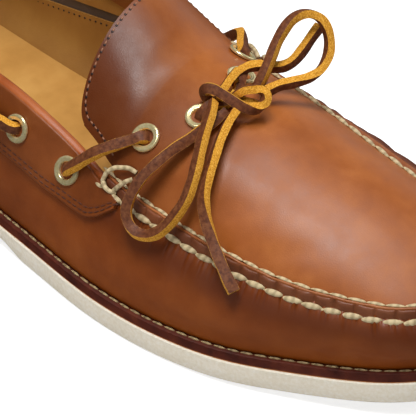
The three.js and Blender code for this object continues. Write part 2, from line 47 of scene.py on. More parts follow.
# Camera. The photo looks at the outer side of the forefoot through a long lens, from 44 degrees
# round towards the toe and 38 degrees up, and shows little more than the front half.
VIEW_AZIMUTH = math.radians(44)
VIEW_ELEVATION = math.radians(38)
VIEW_DISTANCE = 1100
VIEW_WIDTH = 131.2
VIEW_CENTRE = np.array([43.28, -11.17, 26.81])
SENSOR = 36.0
SIGHT = np.array([
    math.sin(VIEW_AZIMUTH) * math.cos(VIEW_ELEVATION),
    -math.cos(VIEW_AZIMUTH) * math.cos(VIEW_ELEVATION),
    math.sin(VIEW_ELEVATION),
])
camera_data = bpy.data.cameras.new("photo_view")
camera_data.sensor_width = SENSOR
camera_data.lens = SENSOR * VIEW_DISTANCE / VIEW_WIDTH
camera_data.clip_start = 0.05
camera_data.clip_end = 20


def add_object(name, data):
    """An object that holds some data, in the scene."""
    made = bpy.data.objects.new(name, data)
    bpy.context.scene.collection.objects.link(made)
    return made


camera = add_object("photo_view", camera_data)
camera.location = Vector((VIEW_CENTRE + SIGHT * VIEW_DISTANCE) * MM)
camera.rotation_euler = Vector(-SIGHT).to_track_quat("-Z", "Y").to_euler()
bpy.context.scene.camera = camera


# Lace. One thong of oiled leather, cut 3 to 4 mm wide and 2.8 thick: its two wide faces are brown
# grain, and the cut edges are raw ochre suede. The bow's knot, loops and ends are lengths of it.
LACE_WIDTH = 3.8
LACE_THICK = 2.8
LACE_CORNER = 0.45
LACE_CROWN = 0.12
LACE_STEP = 0.5


def colour(code):
    """A colour written in sRGB hex, as the linear values that a shader takes."""
    parts = [int(code[i:i + 2], 16) / 255 for i in (1, 3, 5)]
    return [c / 12.92 if c <= 0.04045 else ((c + 0.055) / 1.055) ** 2.4 for c in parts] + [1]


def add_node(owner, kind, settings=None, **inputs):
    """Adds a node to a material or a node tree; an input is a value, or another node's output."""
    tree = getattr(owner, "node_tree", owner)
    node = tree.nodes.new(kind)
    for key, value in (settings or {}).items():
        setattr(node, key, value)
    for key, value in inputs.items():
        slot = node.inputs[int(key[1:]) if key[1:].isdigit() else key.replace("_", " ")]
        if isinstance(value, bpy.types.NodeSocket):
            tree.links.new(value, slot)
        else:
            slot.default_value = value
    return node


def math_node(material, operation, *values):
    """The result of a maths node on its two or three values."""
    inputs = {f"i{k}": value for k, value in enumerate(values)}
    return add_node(material, "ShaderNodeMath", {"operation": operation}, **inputs).outputs[0]


def mix_colour(material, factor, first, second):
    """One colour turning into another as a factor goes from 0 to 1."""
    return add_node(material, "ShaderNodeMix", {"data_type": "RGBA"}, i0=factor, i6=first,
                    i7=second).outputs[2]


def ramp(material, factor, *stops):
    """Turns a factor into a colour, through stops of place and hex colour."""
    node = add_node(material, "ShaderNodeValToRGB", i0=factor)
    band = node.color_ramp
    while len(band.elements) < len(stops):
        band.elements.new(0.5)
    for element, (place, code) in zip(band.elements, stops):
        element.position = place
        element.color = colour(code)
    return node.outputs[0]


def new_material(name):
    """An empty material with its surface shader and output joined."""
    material = bpy.data.materials.new(name)
    material.use_nodes = True
    material.node_tree.nodes.clear()
    shader = add_node(material, "ShaderNodeBsdfPrincipled")
    add_node(material, "ShaderNodeOutputMaterial", Surface=shader.outputs[0])
    return material, shader


def noise(material, place, size, detail=2.0, rough=0.5):
    """Noise whose blobs are size millimetres across."""
    return add_node(material, "ShaderNodeTexNoise", Vector=place, Scale=1 / (size * MM),
                    Detail=detail, Roughness=rough).outputs["Fac"]


def bump(material, height, depth, strength=1.0, normal=None):
    """A bump of depth millimetres where height goes from 0 to 1."""
    node = add_node(material, "ShaderNodeBump", Height=height, Distance=depth * MM, Strength=strength)
    if normal is not None:
        material.node_tree.links.new(normal, node.inputs["Normal"])
    return node.outputs[0]


def catmull_rom(a, b, c, d, f):
    """The place a share f of the way from b to c, on the curve through a, b, c and d."""
    return 0.5 * (2 * b + (c - a) * f + (2 * a - 5 * b + 4 * c - d) * f ** 2
                  + (3 * b - a - 3 * c + d) * f ** 3)


def smooth_line(rows, step):
    """A Catmull-Rom line through rows of numbers, whose first three are a place, in even steps."""
    rows = np.array(rows, float)
    padded = np.vstack([2 * rows[0] - rows[1], rows, 2 * rows[-1] - rows[-2]])
    t = np.linspace(0, len(rows) - 1, 40 * (len(rows) - 1) + 1)
    cell = np.minimum(t.astype(int), len(rows) - 2)
    f = (t - cell)[:, None]
    a, b, c, d = (padded[cell + k] for k in range(4))
    line = catmull_rom(a, b, c, d, f)
    lengths = np.r_[0, np.cumsum(np.linalg.norm(np.diff(line[:, :3], axis=0), axis=1))]
    even = np.linspace(0, lengths[-1], max(3, round(lengths[-1] / step) + 1))
    return np.stack([np.interp(even, lengths, line[:, k]) for k in range(line.shape[1])], axis=1)


def unit(vectors):
    """Vectors scaled to length one."""
    vectors = np.asarray(vectors, float)
    return vectors / np.maximum(np.linalg.norm(vectors, axis=-1, keepdims=True), 1e-9)


def piece(name, points, faces, material, values=None, uv=None, sharp=35):
    """A mesh piece in the shoe's frame. values are named numbers, and uv a pair, of every point."""
    mesh = bpy.data.meshes.new(name)
    points = np.asarray(points, float).reshape(-1, 3)
    faces = np.asarray(faces, int).reshape(-1, 4)
    mesh.vertices.add(len(points))
    mesh.vertices.foreach_set("co", (points * MM).astype(np.float32).ravel())
    mesh.loops.add(4 * len(faces))
    mesh.loops.foreach_set("vertex_index", faces.ravel())
    mesh.polygons.add(len(faces))
    mesh.polygons.foreach_set("loop_start", np.arange(0, 4 * len(faces), 4))
    for key, numbers in (values or {}).items():
        layer = mesh.attributes.new(key, "FLOAT", "POINT")
        layer.data.foreach_set("value", np.asarray(numbers, np.float32).ravel())
    mesh.update(calc_edges=True)
    if uv is not None:
        uv = np.asarray(uv, np.float32).reshape(-1, 2)
        mesh.uv_layers.new(name="UVMap").data.foreach_set("uv", uv[faces.ravel()].ravel())
    work = bmesh.new()
    work.from_mesh(mesh)
    bmesh.ops.remove_doubles(work, verts=work.verts, dist=1e-6)
    bmesh.ops.dissolve_degenerate(work, edges=work.edges, dist=1e-7)
    bmesh.ops.recalc_face_normals(work, faces=work.faces)
    work.to_mesh(mesh)
    work.free()
    mesh.shade_smooth()
    mesh.set_sharp_from_angle(angle=math.radians(sharp))
    mesh.materials.append(material)
    return add_object(name, mesh)


def grid_faces(rows, columns, ring_rows=False, ring_columns=False):
    """The quads of a grid of points, which may close on itself either way."""
    i = np.arange(rows if ring_rows else rows - 1)[:, None]
    j = np.arange(columns if ring_columns else columns - 1)[None, :]
    i2 = (i + 1) % rows
    j2 = (j + 1) % columns
    quads = [i * columns + j, i2 * columns + j, i2 * columns + j2, i * columns + j2]
    return np.stack(np.broadcast_arrays(*quads), axis=-1).reshape(-1, 4)


def capped(rings):
    """Rings with one more at each end, shrunk to the middle, so that the ends close."""
    first = np.broadcast_to(rings[:1].mean(axis=1, keepdims=True), rings[:1].shape)
    last = np.broadcast_to(rings[-1:].mean(axis=1, keepdims=True), rings[-1:].shape)
    return np.concatenate([first, rings, last])


def tube(name, rings, material, **more):
    """A piece skinned over rings of points."""
    return piece(name, rings, grid_faces(*rings.shape[:2], ring_columns=True), material, **more)


def lace_section():
    """Across, through and suede of the points round the thong: faces 0, cut edges 1."""
    ring = []
    for side in range(4):
        flat = side % 2 == 0
        half, out = (LACE_WIDTH, LACE_THICK) if flat else (LACE_THICK, LACE_WIDTH)
        for share in (-1, -0.5, 0, 0.5, 1):
            along = share * (half / 2 - LACE_CORNER)
            ring.append([along, out / 2 - LACE_CROWN * share ** 2, side, 0 if flat else 1])
        corner = 0.7 * LACE_CORNER
        ring.append([half / 2 - LACE_CORNER + corner, out / 2 - LACE_CORNER + corner, side, 0.5])
    points = []
    for along, out, side, suede in ring:
        turn = math.pi / 2 * side
        points.append([along * math.cos(turn) + out * math.sin(turn),
                       out * math.cos(turn) - along * math.sin(turn), suede])
    return np.array(points)


def oiled_lace():
    """Oiled thong leather: matt brown grain with fine cross wrinkles, and raw ochre cut edges
    that are dull, fibrous and speckled."""
    material, shader = new_material("oiled_thong_leather_with_raw_suede_edges")
    place = add_node(material, "ShaderNodeTexCoord").outputs["Object"]
    suede = add_node(material, "ShaderNodeAttribute", {"attribute_name": "suede"}).outputs["Fac"]
    fibre = noise(material, place, 0.45, 3, 0.6)
    patch = noise(material, place, 1.3, 3, 0.6)
    brown = ramp(material, patch, (0.3, "#502814"), (0.52, "#6A3A20"), (0.75, "#82502E"))
    ochre = ramp(material, fibre, (0.3, "#A8701A"), (0.5, "#D0902A"), (0.7, "#EDB851"))
    edge = math_node(material, "ADD", suede, math_node(material, "MULTIPLY_ADD", fibre, 0.5, -0.25))
    cut = add_node(material, "ShaderNodeMapRange", Value=edge, From_Min=0.38, From_Max=0.62)
    mixed = mix_colour(material, cut.outputs[0], brown, ochre)
    material.node_tree.links.new(mixed, shader.inputs["Base Color"])
    rough = add_node(material, "ShaderNodeMapRange", Value=cut.outputs[0], To_Min=0.55, To_Max=0.95)
    material.node_tree.links.new(rough.outputs[0], shader.inputs["Roughness"])
    wrinkle = noise(material, place, 0.8, 3, 0.6)
    material.node_tree.links.new(bump(material, wrinkle, 0.18, 0.6, bump(material, fibre, 0.1, 0.5)),
                                 shader.inputs["Normal"])
    shader.inputs["Specular IOR Level"].default_value = 0.3
    return material


lace_leather = oiled_lace()
LACE_RING = lace_section()


def lace_strand(name, route, hint=SIGHT):
    """A length of thong along a route of rows x, y, z, turn and width. At turn 0 a wide face looks
    along the hint, which is one direction or one for each row."""
    hints = np.broadcast_to(np.asarray(hint, float), (len(route), 3))
    line = smooth_line(np.hstack([np.array(route, float), hints]), LACE_STEP)
    centre = line[:, :3]
    turn = np.radians(line[:, 3:4])
    wide = line[:, 4, None, None] / LACE_WIDTH
    along = unit(np.gradient(centre, axis=0))
    flat = line[:, 5:8]
    flat = unit(flat - (flat * along).sum(axis=1, keepdims=True) * along)
    face = np.cos(turn) * flat + np.sin(turn) * np.cross(along, flat)
    across = np.cross(along, face)
    wear = 1 + 0.03 * np.sin(np.arange(len(centre)) * 0.37)[:, None, None]
    rings = centre[:, None] + wear * (across[:, None] * LACE_RING[None, :, :1] * wide
                                      + face[:, None] * LACE_RING[None, :, 1:2])
    rings = capped(rings)
    suede = np.broadcast_to(LACE_RING[:, 2], rings.shape[:2]).copy()
    suede[0] = suede[-1] = 1
    made = tube(name, rings, lace_leather, values={"suede": suede}, sharp=60)
    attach(made, "root")
    return made, centre


# The knot's own turns: the band across its front, which curls back over itself, the strand that
# comes out through the curl, and the one that passes under the band. Rows are x, y, z, the turn
# of the wide face and the width.
KNOT_BAND = [
    [40.2, -6.2, 64.1, 0, 3.4], [39.4, -8.0, 66.5, 0, 3.4], [39.4, -8.7, 69.0, 0, 3.4],
    [41.5, -9.6, 71.7, 3, 3.4], [43.7, -8.9, 72.1, 5, 3.4], [46.3, -8.1, 71.3, 5, 3.4],
    [49.3, -7.1, 70.0, 5, 3.4], [52.0, -6.0, 68.7, 8, 3.4], [54.4, -4.1, 67.6, 25, 3.4],
    [56.0, -1.7, 67.7, 75, 3.2], [56.3, 0.6, 68.9, 118, 3.2], [55.4, 1.9, 70.5, 112, 3.2],
    [53.2, 1.7, 71.1, 95, 3.2], [51.3, 0.1, 71.3, 80, 3.2], [49.6, -1.7, 70.9, 80, 3.2],
    [48.0, -3.2, 69.3, 78, 3.2], [45.0, -3.1, 66.0, 60, 3.2],
]
KNOT_INNER = [
    [45.5, -3.3, 68.7, 90, 3.0], [48.6, -2.4, 67.5, 90, 3.0], [50.9, -1.2, 66.9, 90, 3.0],
    [51.7, 0.5, 65.8, 90, 3.0], [50.9, 2.4, 63.4, 90, 3.0], [49.3, 3.2, 60.7, 90, 3.0],
]
KNOT_UNDER = [
    [41.7, 3.4, 71.7, 85, 3.0], [42.4, 0.0, 71.1, 85, 3.2], [43.5, -3.4, 70.8, 85, 3.2],
    [44.1, -6.0, 69.8, 80, 3.0], [44.7, -8.2, 68.1, 75, 2.6],
]
# The bow's routes are the CAD model's own, from the knot outwards
NEAR_LOOP = [
    [48.5, -8.6, 66.3, 0, 2.4], [48.0, -13.2, 64.3, 0, 3.4], [47.5, -17.7, 63.6, -5, 3.4],
    [46.8, -22.7, 62.4, -8, 3.4], [45.4, -29.3, 60.6, -5, 3.4], [43.9, -35.6, 57.4, 3, 3.4],
    [42.3, -40.1, 53.5, 8, 3.4], [41.6, -43.6, 48.8, 10, 3.4], [41.9, -45.8, 44.7, 12, 3.4],
    [44.0, -47.0, 41.5, 5, 3.4], [47.5, -47.3, 39.9, -15, 3.4], [51.7, -46.4, 40.5, -32, 3.4],
    [55.5, -44.9, 43.4, -42, 3.4], [58.0, -42.2, 47.6, -48, 3.4], [59.3, -38.0, 52.9, -52, 3.4],
    [58.3, -33.5, 57.9, -54, 3.4], [56.0, -28.8, 62.1, -55, 3.4], [52.9, -23.6, 65.6, -55, 3.4],
    [50.4, -19.0, 67.6, -57, 3.4], [47.8, -14.4, 68.6, -60, 2.9], [45.0, -10.4, 69.0, -60, 2.0],
]
NEAR_END = [
    [51.3, -5.9, 67.6, 85, 1.8], [53.4, -12.2, 66.9, 82, 2.8], [55.6, -18.2, 64.8, 78, 3.1],
    [58.8, -24.8, 61.5, 74, 3.1], [61.2, -30.2, 58.0, 62, 3.2], [63.9, -34.5, 54.2, 45, 3.3],
    [67.8, -37.5, 50.3, 22, 3.5], [72.4, -39.6, 46.3, 8, 3.6], [77.4, -41.5, 42.4, 0, 3.7],
    [82.2, -43.0, 38.6, -8, 3.8], [85.6, -43.7, 35.9, -10, 4.0],
]
FAR_LOOP = [
    [48.7, 5.8, 68.6, -30, 3.0], [48.5, 8.6, 71.6, -31, 3.0], [47.7, 11.9, 74.5, -33, 3.0],
    [46.2, 17.1, 78.7, -36, 3.0], [45.9, 22.4, 82.5, -42, 3.0], [46.8, 26.4, 83.8, -66, 3.0],
    [48.7, 29.3, 83.6, -85, 3.0], [51.1, 31.4, 81.8, -102, 3.0], [53.3, 31.8, 78.9, -112, 3.0],
    [55.2, 31.0, 75.2, -118, 3.0], [56.9, 28.5, 72.0, -116, 3.0], [57.9, 24.2, 69.6, -98, 3.0],
    [57.4, 19.9, 68.6, -70, 3.0], [55.7, 15.3, 68.4, -50, 3.0], [53.5, 10.4, 68.5, -50, 3.0],
    [51.9, 6.3, 67.6, -50, 3.0],
]
FAR_END = [
    [42.4, 2.1, 67.7, 80, 3.0], [40.4, 4.0, 68.6, 75, 3.0], [40.2, 6.9, 69.2, 70, 3.0],
    [41.1, 9.7, 69.7, 65, 3.0], [43.1, 12.4, 69.8, 60, 3.0], [45.8, 15.0, 69.2, 50, 3.0],
    [48.1, 17.9, 69.2, 45, 3.0], [49.3, 21.2, 70.3, 45, 3.0], [49.5, 25.1, 72.5, 47, 3.0],
    [49.4, 29.2, 75.3, 50, 3.0], [49.3, 33.0, 77.5, 50, 3.0],
]
band, _ = lace_strand("lace_knot_band", KNOT_BAND)
inner_strand, _ = lace_strand("lace_knot_inner", KNOT_INNER)
under_strand, _ = lace_strand("lace_knot_under", KNOT_UNDER)
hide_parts("lace_knot")
KNOT_CENTRE = np.array([46.5, -2.2, 67.7])
for name, route, pieces in (("lace_loop_near", NEAR_LOOP, [band, inner_strand, under_strand]),
                            ("lace_end_near", NEAR_END, []),
                            ("lace_loop_far", FAR_LOOP, []),
                            ("lace_end_far", FAR_END, [])):
    strand, centre = lace_strand(name + "_thong", route)
    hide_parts(name)


# The last. Its stations run from the heel along the outer side to the toe and back along the inner
# side; each gives a place on the sole's edge and one on the upper's top edge, as shares of the
# length, the ball width and the heel height. Everything else is worked out from them.
LENGTH = 298
BALL_WIDTH = 106
HEEL_HEIGHT = 67
PLUG_RISE = 22
TOE_SPRING = 7
ARCH_LIFT = 2.5
OUTSOLE = 8
MIDSOLE = 3.5
INSOLE = 4
WALL = 2
OVERLAY = 1.5
GAP = 0.3
MIDSOLE_INSET = 0.6
LEDGE = 4.5
STATIONS = [
    ("heel", -0.500, 0.000, -0.466, 0.000, 1.000),
    ("heel curve", -0.480, -0.189, -0.453, -0.142, 0.985),
    ("heel side", -0.430, -0.307, -0.406, -0.241, 0.948),
    ("heel front", -0.349, -0.354, -0.332, -0.292, 0.896),
    ("ankle", -0.262, -0.368, -0.252, -0.325, 0.858),
    ("waist", -0.168, -0.396, -0.158, -0.335, 0.843),
    ("waist front", -0.087, -0.434, -0.081, -0.335, 0.827),
    ("second eyelet", -0.017, -0.460, -0.017, -0.342, 0.781),
    ("first eyelet", 0.044, -0.483, 0.040, -0.344, 0.701),
    ("outer seam start", 0.101, -0.500, 0.094, -0.366, 0.651),
    ("ball", 0.161, -0.500, 0.154, -0.370, 0.621),
    ("ball front", 0.221, -0.481, 0.215, -0.362, 0.593),
    ("small toes", 0.282, -0.439, 0.275, -0.340, 0.567),
    ("outer toes", 0.339, -0.368, 0.332, -0.300, 0.546),
    ("outer toe curve", 0.396, -0.286, 0.383, -0.238, 0.533),
    ("outer toe front", 0.446, -0.192, 0.426, -0.166, 0.527),
    ("toe side", 0.483, -0.066, 0.455, -0.071, 0.536),
    ("toe", 0.500, 0.066, 0.465, 0.038, 0.553),
    ("big toe front", 0.492, 0.198, 0.456, 0.146, 0.566),
    ("big toe curve", 0.463, 0.316, 0.431, 0.226, 0.575),
    ("big toe", 0.416, 0.410, 0.389, 0.281, 0.587),
    ("big toe joint front", 0.352, 0.470, 0.332, 0.302, 0.606),
    ("big toe joint", 0.282, 0.4985, 0.268, 0.311, 0.631),
    ("inner ball", 0.208, 0.4995, 0.195, 0.315, 0.672),
    ("inner ball back", 0.134, 0.467, 0.124, 0.313, 0.704),
    ("inner seam start", 0.067, 0.415, 0.060, 0.325, 0.722),
    ("inner first eyelet", 0.000, 0.361, -0.003, 0.325, 0.761),
    ("inner second eyelet", -0.074, 0.328, -0.074, 0.321, 0.821),
    ("arch", -0.161, 0.321, -0.161, 0.316, 0.858),
    ("inner ankle", -0.255, 0.335, -0.252, 0.307, 0.881),
    ("inner heel front", -0.342, 0.349, -0.332, 0.283, 0.910),
    ("inner heel side", -0.419, 0.321, -0.399, 0.241, 0.952),
    ("inner heel curve", -0.477, 0.198, -0.450, 0.142, 0.988),
]
ROUND = len(STATIONS)
OUTER_SEAM = 9
TOE = 17
INNER_SEAM = 25
FLOOR_TO_UPPER = OUTSOLE + MIDSOLE + GAP


def round_curve(rows):
    """A smooth closed curve through rows of numbers, as a function of the row's number."""
    rows = np.array(rows, float)
    controls = rows.copy()
    for _ in range(60):
        sides = np.roll(controls, 1, axis=0) + np.roll(controls, -1, axis=0)
        controls += 0.6 * ((6 * rows - sides) / 4 - controls)

    def at(t):
        t = np.asarray(t, float)
        cell = np.floor(t).astype(int)
        f = (t - cell)[..., None]
        near = [controls[(cell + k) % len(rows)] for k in (-1, 0, 1, 2)]
        return ((1 - f) ** 3 * near[0] + (3 * f ** 3 - 6 * f ** 2 + 4) * near[1]
                + (-3 * f ** 3 + 3 * f ** 2 + 3 * f + 1) * near[2] + f ** 3 * near[3]) / 6
    return at


sole_curve = round_curve([[s[1] * LENGTH, s[2] * BALL_WIDTH] for s in STATIONS])
top_curve = round_curve([[s[3] * LENGTH, s[4] * BALL_WIDTH, s[5] * HEEL_HEIGHT] for s in STATIONS])


def ease(x, low, high):
    """0 below low, 1 above high, and smooth between them."""
    share = np.clip((np.asarray(x, float) - low) / (high - low), 0, 1)
    return share * share * (3 - 2 * share)


def toe_spring(x):
    """How far the sole has risen at x, from the flat forefoot towards the toe."""
    start = 0.15 * LENGTH
    return TOE_SPRING * np.clip((x - start) / (LENGTH / 2 - start), 0, 1) ** 2


def arch_lift(x):
    """How far the underside is relieved at the arch."""
    return ARCH_LIFT * (ease(x, -0.195 * LENGTH, -0.155 * LENGTH) - ease(x, -0.05 * LENGTH, -0.01 * LENGTH))


def outward(station):
    """The level direction out of the shoe at a station."""
    step = sole_curve(np.asarray(station) + 0.001) - sole_curve(np.asarray(station) - 0.001)
    return unit(np.stack([step[..., 1], -step[..., 0], 0 * step[..., 0]], axis=-1))


def sole_edge(station, inset, height):
    """A point inset from the sole's edge, at a height above its sprung underside."""
    flat = sole_curve(station)
    edge = np.concatenate([flat, 0 * flat[..., :1]], axis=-1)
    edge = edge - outward(station) * np.asarray(inset)[..., None]
    edge[..., 2] = toe_spring(edge[..., 0]) + height
    return edge


def wall_point(station, up):
    """Outer face of the wall: station round the shoe, and share of the way up."""
    station, up = np.broadcast_arrays(np.asarray(station, float) % ROUND, np.asarray(up, float))
    foot = sole_edge(station, LEDGE + 0 * station, FLOOR_TO_UPPER)
    top = top_curve(station)
    out = outward(station)
    back = ease(station, OUTER_SEAM - 1, OUTER_SEAM + 2)
    front = ease(ROUND - station, ROUND - INNER_SEAM - 1, ROUND - INNER_SEAM + 2)
    fore = (back * front)[..., None]
    inner = np.clip((station - TOE) / 4, 0, 1)[..., None]
    rise = (top - foot)[..., 2:]
    lift = np.array([0, 0, 1.0])
    low = foot + out * (4.5 + 1.5 * fore) + lift * 0.38 * rise
    high = top + out * (2 + (6 + 3 * inner) * fore) - lift * 0.16 * rise
    u = up[..., None]
    return (1 - u) ** 3 * foot + 3 * (1 - u) ** 2 * u * low + 3 * (1 - u) * u ** 2 * high + u ** 3 * top


def normal_of(surface, a, b, toward):
    """Unit normal of a surface function, on the side of a direction."""
    step = 0.002
    along_a = surface(a + step, b) - surface(a - step, b)
    along_b = surface(a, b + step) - surface(a, b - step)
    normal = unit(np.cross(along_a, along_b))
    return np.where((normal * toward).sum(axis=-1, keepdims=True) < 0, -normal, normal)


def wall_normal(station, up):
    """Unit normal out of the wall."""
    station, up = np.broadcast_arrays(np.asarray(station, float), np.asarray(up, float))
    return normal_of(wall_point, station, np.clip(up, 0.01, 0.99), outward(station))


def wall_offset(station, up, distance):
    """A point at a distance outside the wall."""
    distance = np.broadcast_to(distance, np.broadcast(station, up).shape)
    return wall_point(station, up) + wall_normal(station, up) * distance[..., None]


# Outsole. Moulded cream rubber in one piece: a flat heel, a relieved arch and a sprung toe, a fine
# pebble on its edge, cross grooves and wavy razor slits underneath.
TREAD_MARGIN = 8
EDGE_ROUND = 1.2
GROOVE_WIDTH = 2.4
GROOVE_DEPTH = 1.5
GROOVE_PLACES = [-0.41, -0.363, -0.316, -0.269, -0.222, 0.013, 0.054, 0.094, 0.134]
SOLE_ROWS = 240
SOLE_COLUMNS = 20


def level_sides(inset, shares):
    """x and both y of an inset outline, at shares of its length."""
    stations = np.linspace(0, ROUND, 6601)
    line = sole_edge(stations, inset + 0 * stations, 0)
    front = line[:, 0].argmax()
    low_x, high_x = line[:, 0].min(), line[:, 0].max()
    x = low_x + (high_x - low_x) * shares
    outer = line[:front + 1]
    inner = line[front:]
    order = inner[:, 0].argsort()
    return x, np.interp(x, outer[:, 0], outer[:, 1]), np.interp(x, inner[order, 0], inner[order, 1])


def sole_piece(name, levels, top_height, material, bottom=None):
    """A layer of the sole. Levels are rows of inset, height function and mark, from below to above."""
    shares = (1 - np.cos(np.linspace(0, math.pi, SOLE_ROWS))) / 2
    if bottom is not None:
        for place in GROOVE_PLACES:
            for side in (-0.5, -0.47, 0.47, 0.5):
                x = place * LENGTH + side * GROOVE_WIDTH
                shares = np.append(shares, (x + LENGTH / 2 - levels[0][0]) / (LENGTH - 2 * levels[0][0]))
        shares = np.unique(shares)
    across = np.linspace(0, 1, SOLE_COLUMNS + 1)
    outer, inner, marks = [], [], []
    for inset, height, mark in levels:
        x, low_y, high_y = level_sides(inset, shares)
        outer.append(np.stack([x, low_y, height(x)], axis=-1))
        inner.append(np.stack([x, high_y, height(x)], axis=-1))
        marks.append(mark)
    floor = [outer[0] * (1 - w) + inner[0] * w for w in across[1:-1]]
    roof = [inner[-1] * (1 - w) + outer[-1] * w for w in across[1:-1]]
    ring = outer[::-1] + floor + inner + roof
    marks = marks[::-1] + [marks[0]] * len(floor) + marks + [marks[-1]] * len(roof)
    rings = np.stack(ring, axis=1)
    if bottom is not None:
        rings = bottom(rings, len(levels))
    if top_height is not None:
        rings = top_height(rings, len(levels))
    mark = np.broadcast_to(np.array(marks, float), rings.shape[:2])
    return tube(name, rings, material, values={"layer": mark}, sharp=40)


def moulded_rubber():
    """Moulded crepe-look rubber: matt cream with a fine pebble whose hollows get a little painted
    shade, and wavy razor slits across the tread, drawn as bump and painted shade because they are hair thin."""
    material, shader = new_material("moulded_cream_rubber")
    place = add_node(material, "ShaderNodeTexCoord").outputs["Object"]
    pebble = noise(material, place, 1.1, 2, 0.55)
    patch = noise(material, place, 14, 3)
    # Painted shade: the pebble noise is also the bump, so the cream is a little darker in its hollows.
    tone = math_node(material, "MULTIPLY_ADD", pebble, 0.65, math_node(material, "MULTIPLY", patch, 0.35))
    cream = ramp(material, tone, (0.3, "#F0E4CC"), (0.5, "#F8EEDA"), (0.7, "#FFF8EA"))
    normal = add_node(material, "ShaderNodeNewGeometry").outputs["Normal"]
    faces = add_node(material, "ShaderNodeSeparateXYZ", i0=normal)
    below = add_node(material, "ShaderNodeMapRange", Value=faces.outputs["Z"], From_Min=-0.8, From_Max=-0.95)
    slit = add_node(material, "ShaderNodeTexWave", {"bands_direction": "X", "wave_profile": "SIN"},
                    Vector=place, Scale=42.0, Distortion=3.0, Detail=0.0)
    slit.inputs["Detail Scale"].default_value = 1.0
    thin = add_node(material, "ShaderNodeMapRange", Value=slit.outputs["Fac"], From_Min=0.9, From_Max=0.97)
    cut = math_node(material, "MULTIPLY", thin.outputs[0], below.outputs[0])
    # Painted shade in the razor slits: they are darkened to #8E8268 on the underside.
    dark = mix_colour(material, cut, cream, colour("#8E8268"))
    material.node_tree.links.new(dark, shader.inputs["Base Color"])
    fine = bump(material, pebble, 0.25, 0.5)
    groove = math_node(material, "SUBTRACT", 1.0, cut)
    material.node_tree.links.new(bump(material, groove, 0.6, 1.0, fine), shader.inputs["Normal"])
    shader.inputs["Roughness"].default_value = 0.78
    shader.inputs["Specular IOR Level"].default_value = 0.35
    return material


def tread(rings, levels):
    """Presses the cross grooves into the underside."""
    lower = rings[:, levels - 1:levels + SOLE_COLUMNS]
    outer_edge, inner_edge = lower[:, :1, 1], lower[:, -1:, 1]
    inside = (lower[..., 1] > outer_edge + TREAD_MARGIN) & (lower[..., 1] < inner_edge - TREAD_MARGIN)
    for groove in GROOVE_PLACES:
        near = np.abs(lower[..., 0] - groove * LENGTH) < 0.48 * GROOVE_WIDTH
        lower[..., 2] += GROOVE_DEPTH * (near & inside)
    return rings


def underside(x):
    """Height of the sole's underside."""
    return toe_spring(x) + arch_lift(x)


def above_ground(lift):
    """Height function of a level that follows the toe spring."""
    return lambda x: toe_spring(x) + lift


outsole_rubber = moulded_rubber()
outsole = sole_piece("rubber_outsole", [
    (EDGE_ROUND, underside, 0),
    (0.35 * EDGE_ROUND, lambda x: underside(x) + 0.3 * EDGE_ROUND, 0),
    (0, lambda x: underside(x) + EDGE_ROUND, 0),
    (0, lambda x: 0.5 * (underside(x) + EDGE_ROUND + toe_spring(x) + OUTSOLE), 0),
    (0, above_ground(OUTSOLE - 0.35), 0),
    (0.35, above_ground(OUTSOLE), 0),
], None, outsole_rubber, bottom=tread)
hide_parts("outsole")
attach(outsole, "root")


# Midsole. A leather-look board dyed dark brown, cemented to the rubber with a thin line of raw
# edge showing below, and stitched to it along the ledge round the upper.
def dyed_board():
    """Dyed and burnished edge: dark red brown, satin, a shade lighter where it is rubbed, with the
    raw orange line of the board under the dye at its lower edge."""
    material, shader = new_material("dyed_burnished_midsole_board")
    place = add_node(material, "ShaderNodeTexCoord").outputs["Object"]
    layer = add_node(material, "ShaderNodeAttribute", {"attribute_name": "layer"}).outputs["Fac"]
    patch = noise(material, place, 6, 4, 0.6)
    fine = noise(material, place, 0.5, 2)
    dye = ramp(material, patch, (0.3, "#3C1006"), (0.55, "#581E0A"), (0.8, "#6E2E12"))
    raw = add_node(material, "ShaderNodeMapRange", Value=layer, From_Min=0.4, From_Max=0.8)
    mixed = mix_colour(material, raw.outputs[0], dye, colour("#B9722E"))
    material.node_tree.links.new(mixed, shader.inputs["Base Color"])
    material.node_tree.links.new(bump(material, fine, 0.12, 0.5), shader.inputs["Normal"])
    shader.inputs["Roughness"].default_value = 0.5
    return material


midsole_board = dyed_board()
CHANNEL_INSET = 3.2
CHANNEL_DEPTH = 0.5
midsole = sole_piece("midsole_board", [
    (MIDSOLE_INSET, above_ground(OUTSOLE + 0.02), 1),
    (MIDSOLE_INSET - 0.1, above_ground(OUTSOLE + 0.3), 1),
    (MIDSOLE_INSET, above_ground(OUTSOLE + 0.45), 0),
    (MIDSOLE_INSET, above_ground(OUTSOLE + MIDSOLE - 0.5), 0),
    (MIDSOLE_INSET + 0.15, above_ground(OUTSOLE + MIDSOLE - 0.12), 0),
    (MIDSOLE_INSET + 0.5, above_ground(OUTSOLE + MIDSOLE), 0),
    (CHANNEL_INSET - 0.5, above_ground(OUTSOLE + MIDSOLE), 0),
    (CHANNEL_INSET, above_ground(OUTSOLE + MIDSOLE - CHANNEL_DEPTH), 0),
    (CHANNEL_INSET + 3, above_ground(OUTSOLE + MIDSOLE - CHANNEL_DEPTH), 0),
], None, midsole_board)
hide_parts("midsole")
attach(midsole, "root")


# Welt stitches. A lockstitch of waxed beige thread along the ledge, 4.5 mm to the stitch, which
# holds midsole and outsole to the upper.
THREAD_SIDES = np.linspace(0, 2 * math.pi, 12, endpoint=False)


def thread_uv(lengths):
    """UVs of a thread's rings: millimetres along it, and the share of a turn round it."""
    return np.stack(np.broadcast_arrays(lengths[:, None], THREAD_SIDES[None] / (2 * math.pi)), axis=-1)


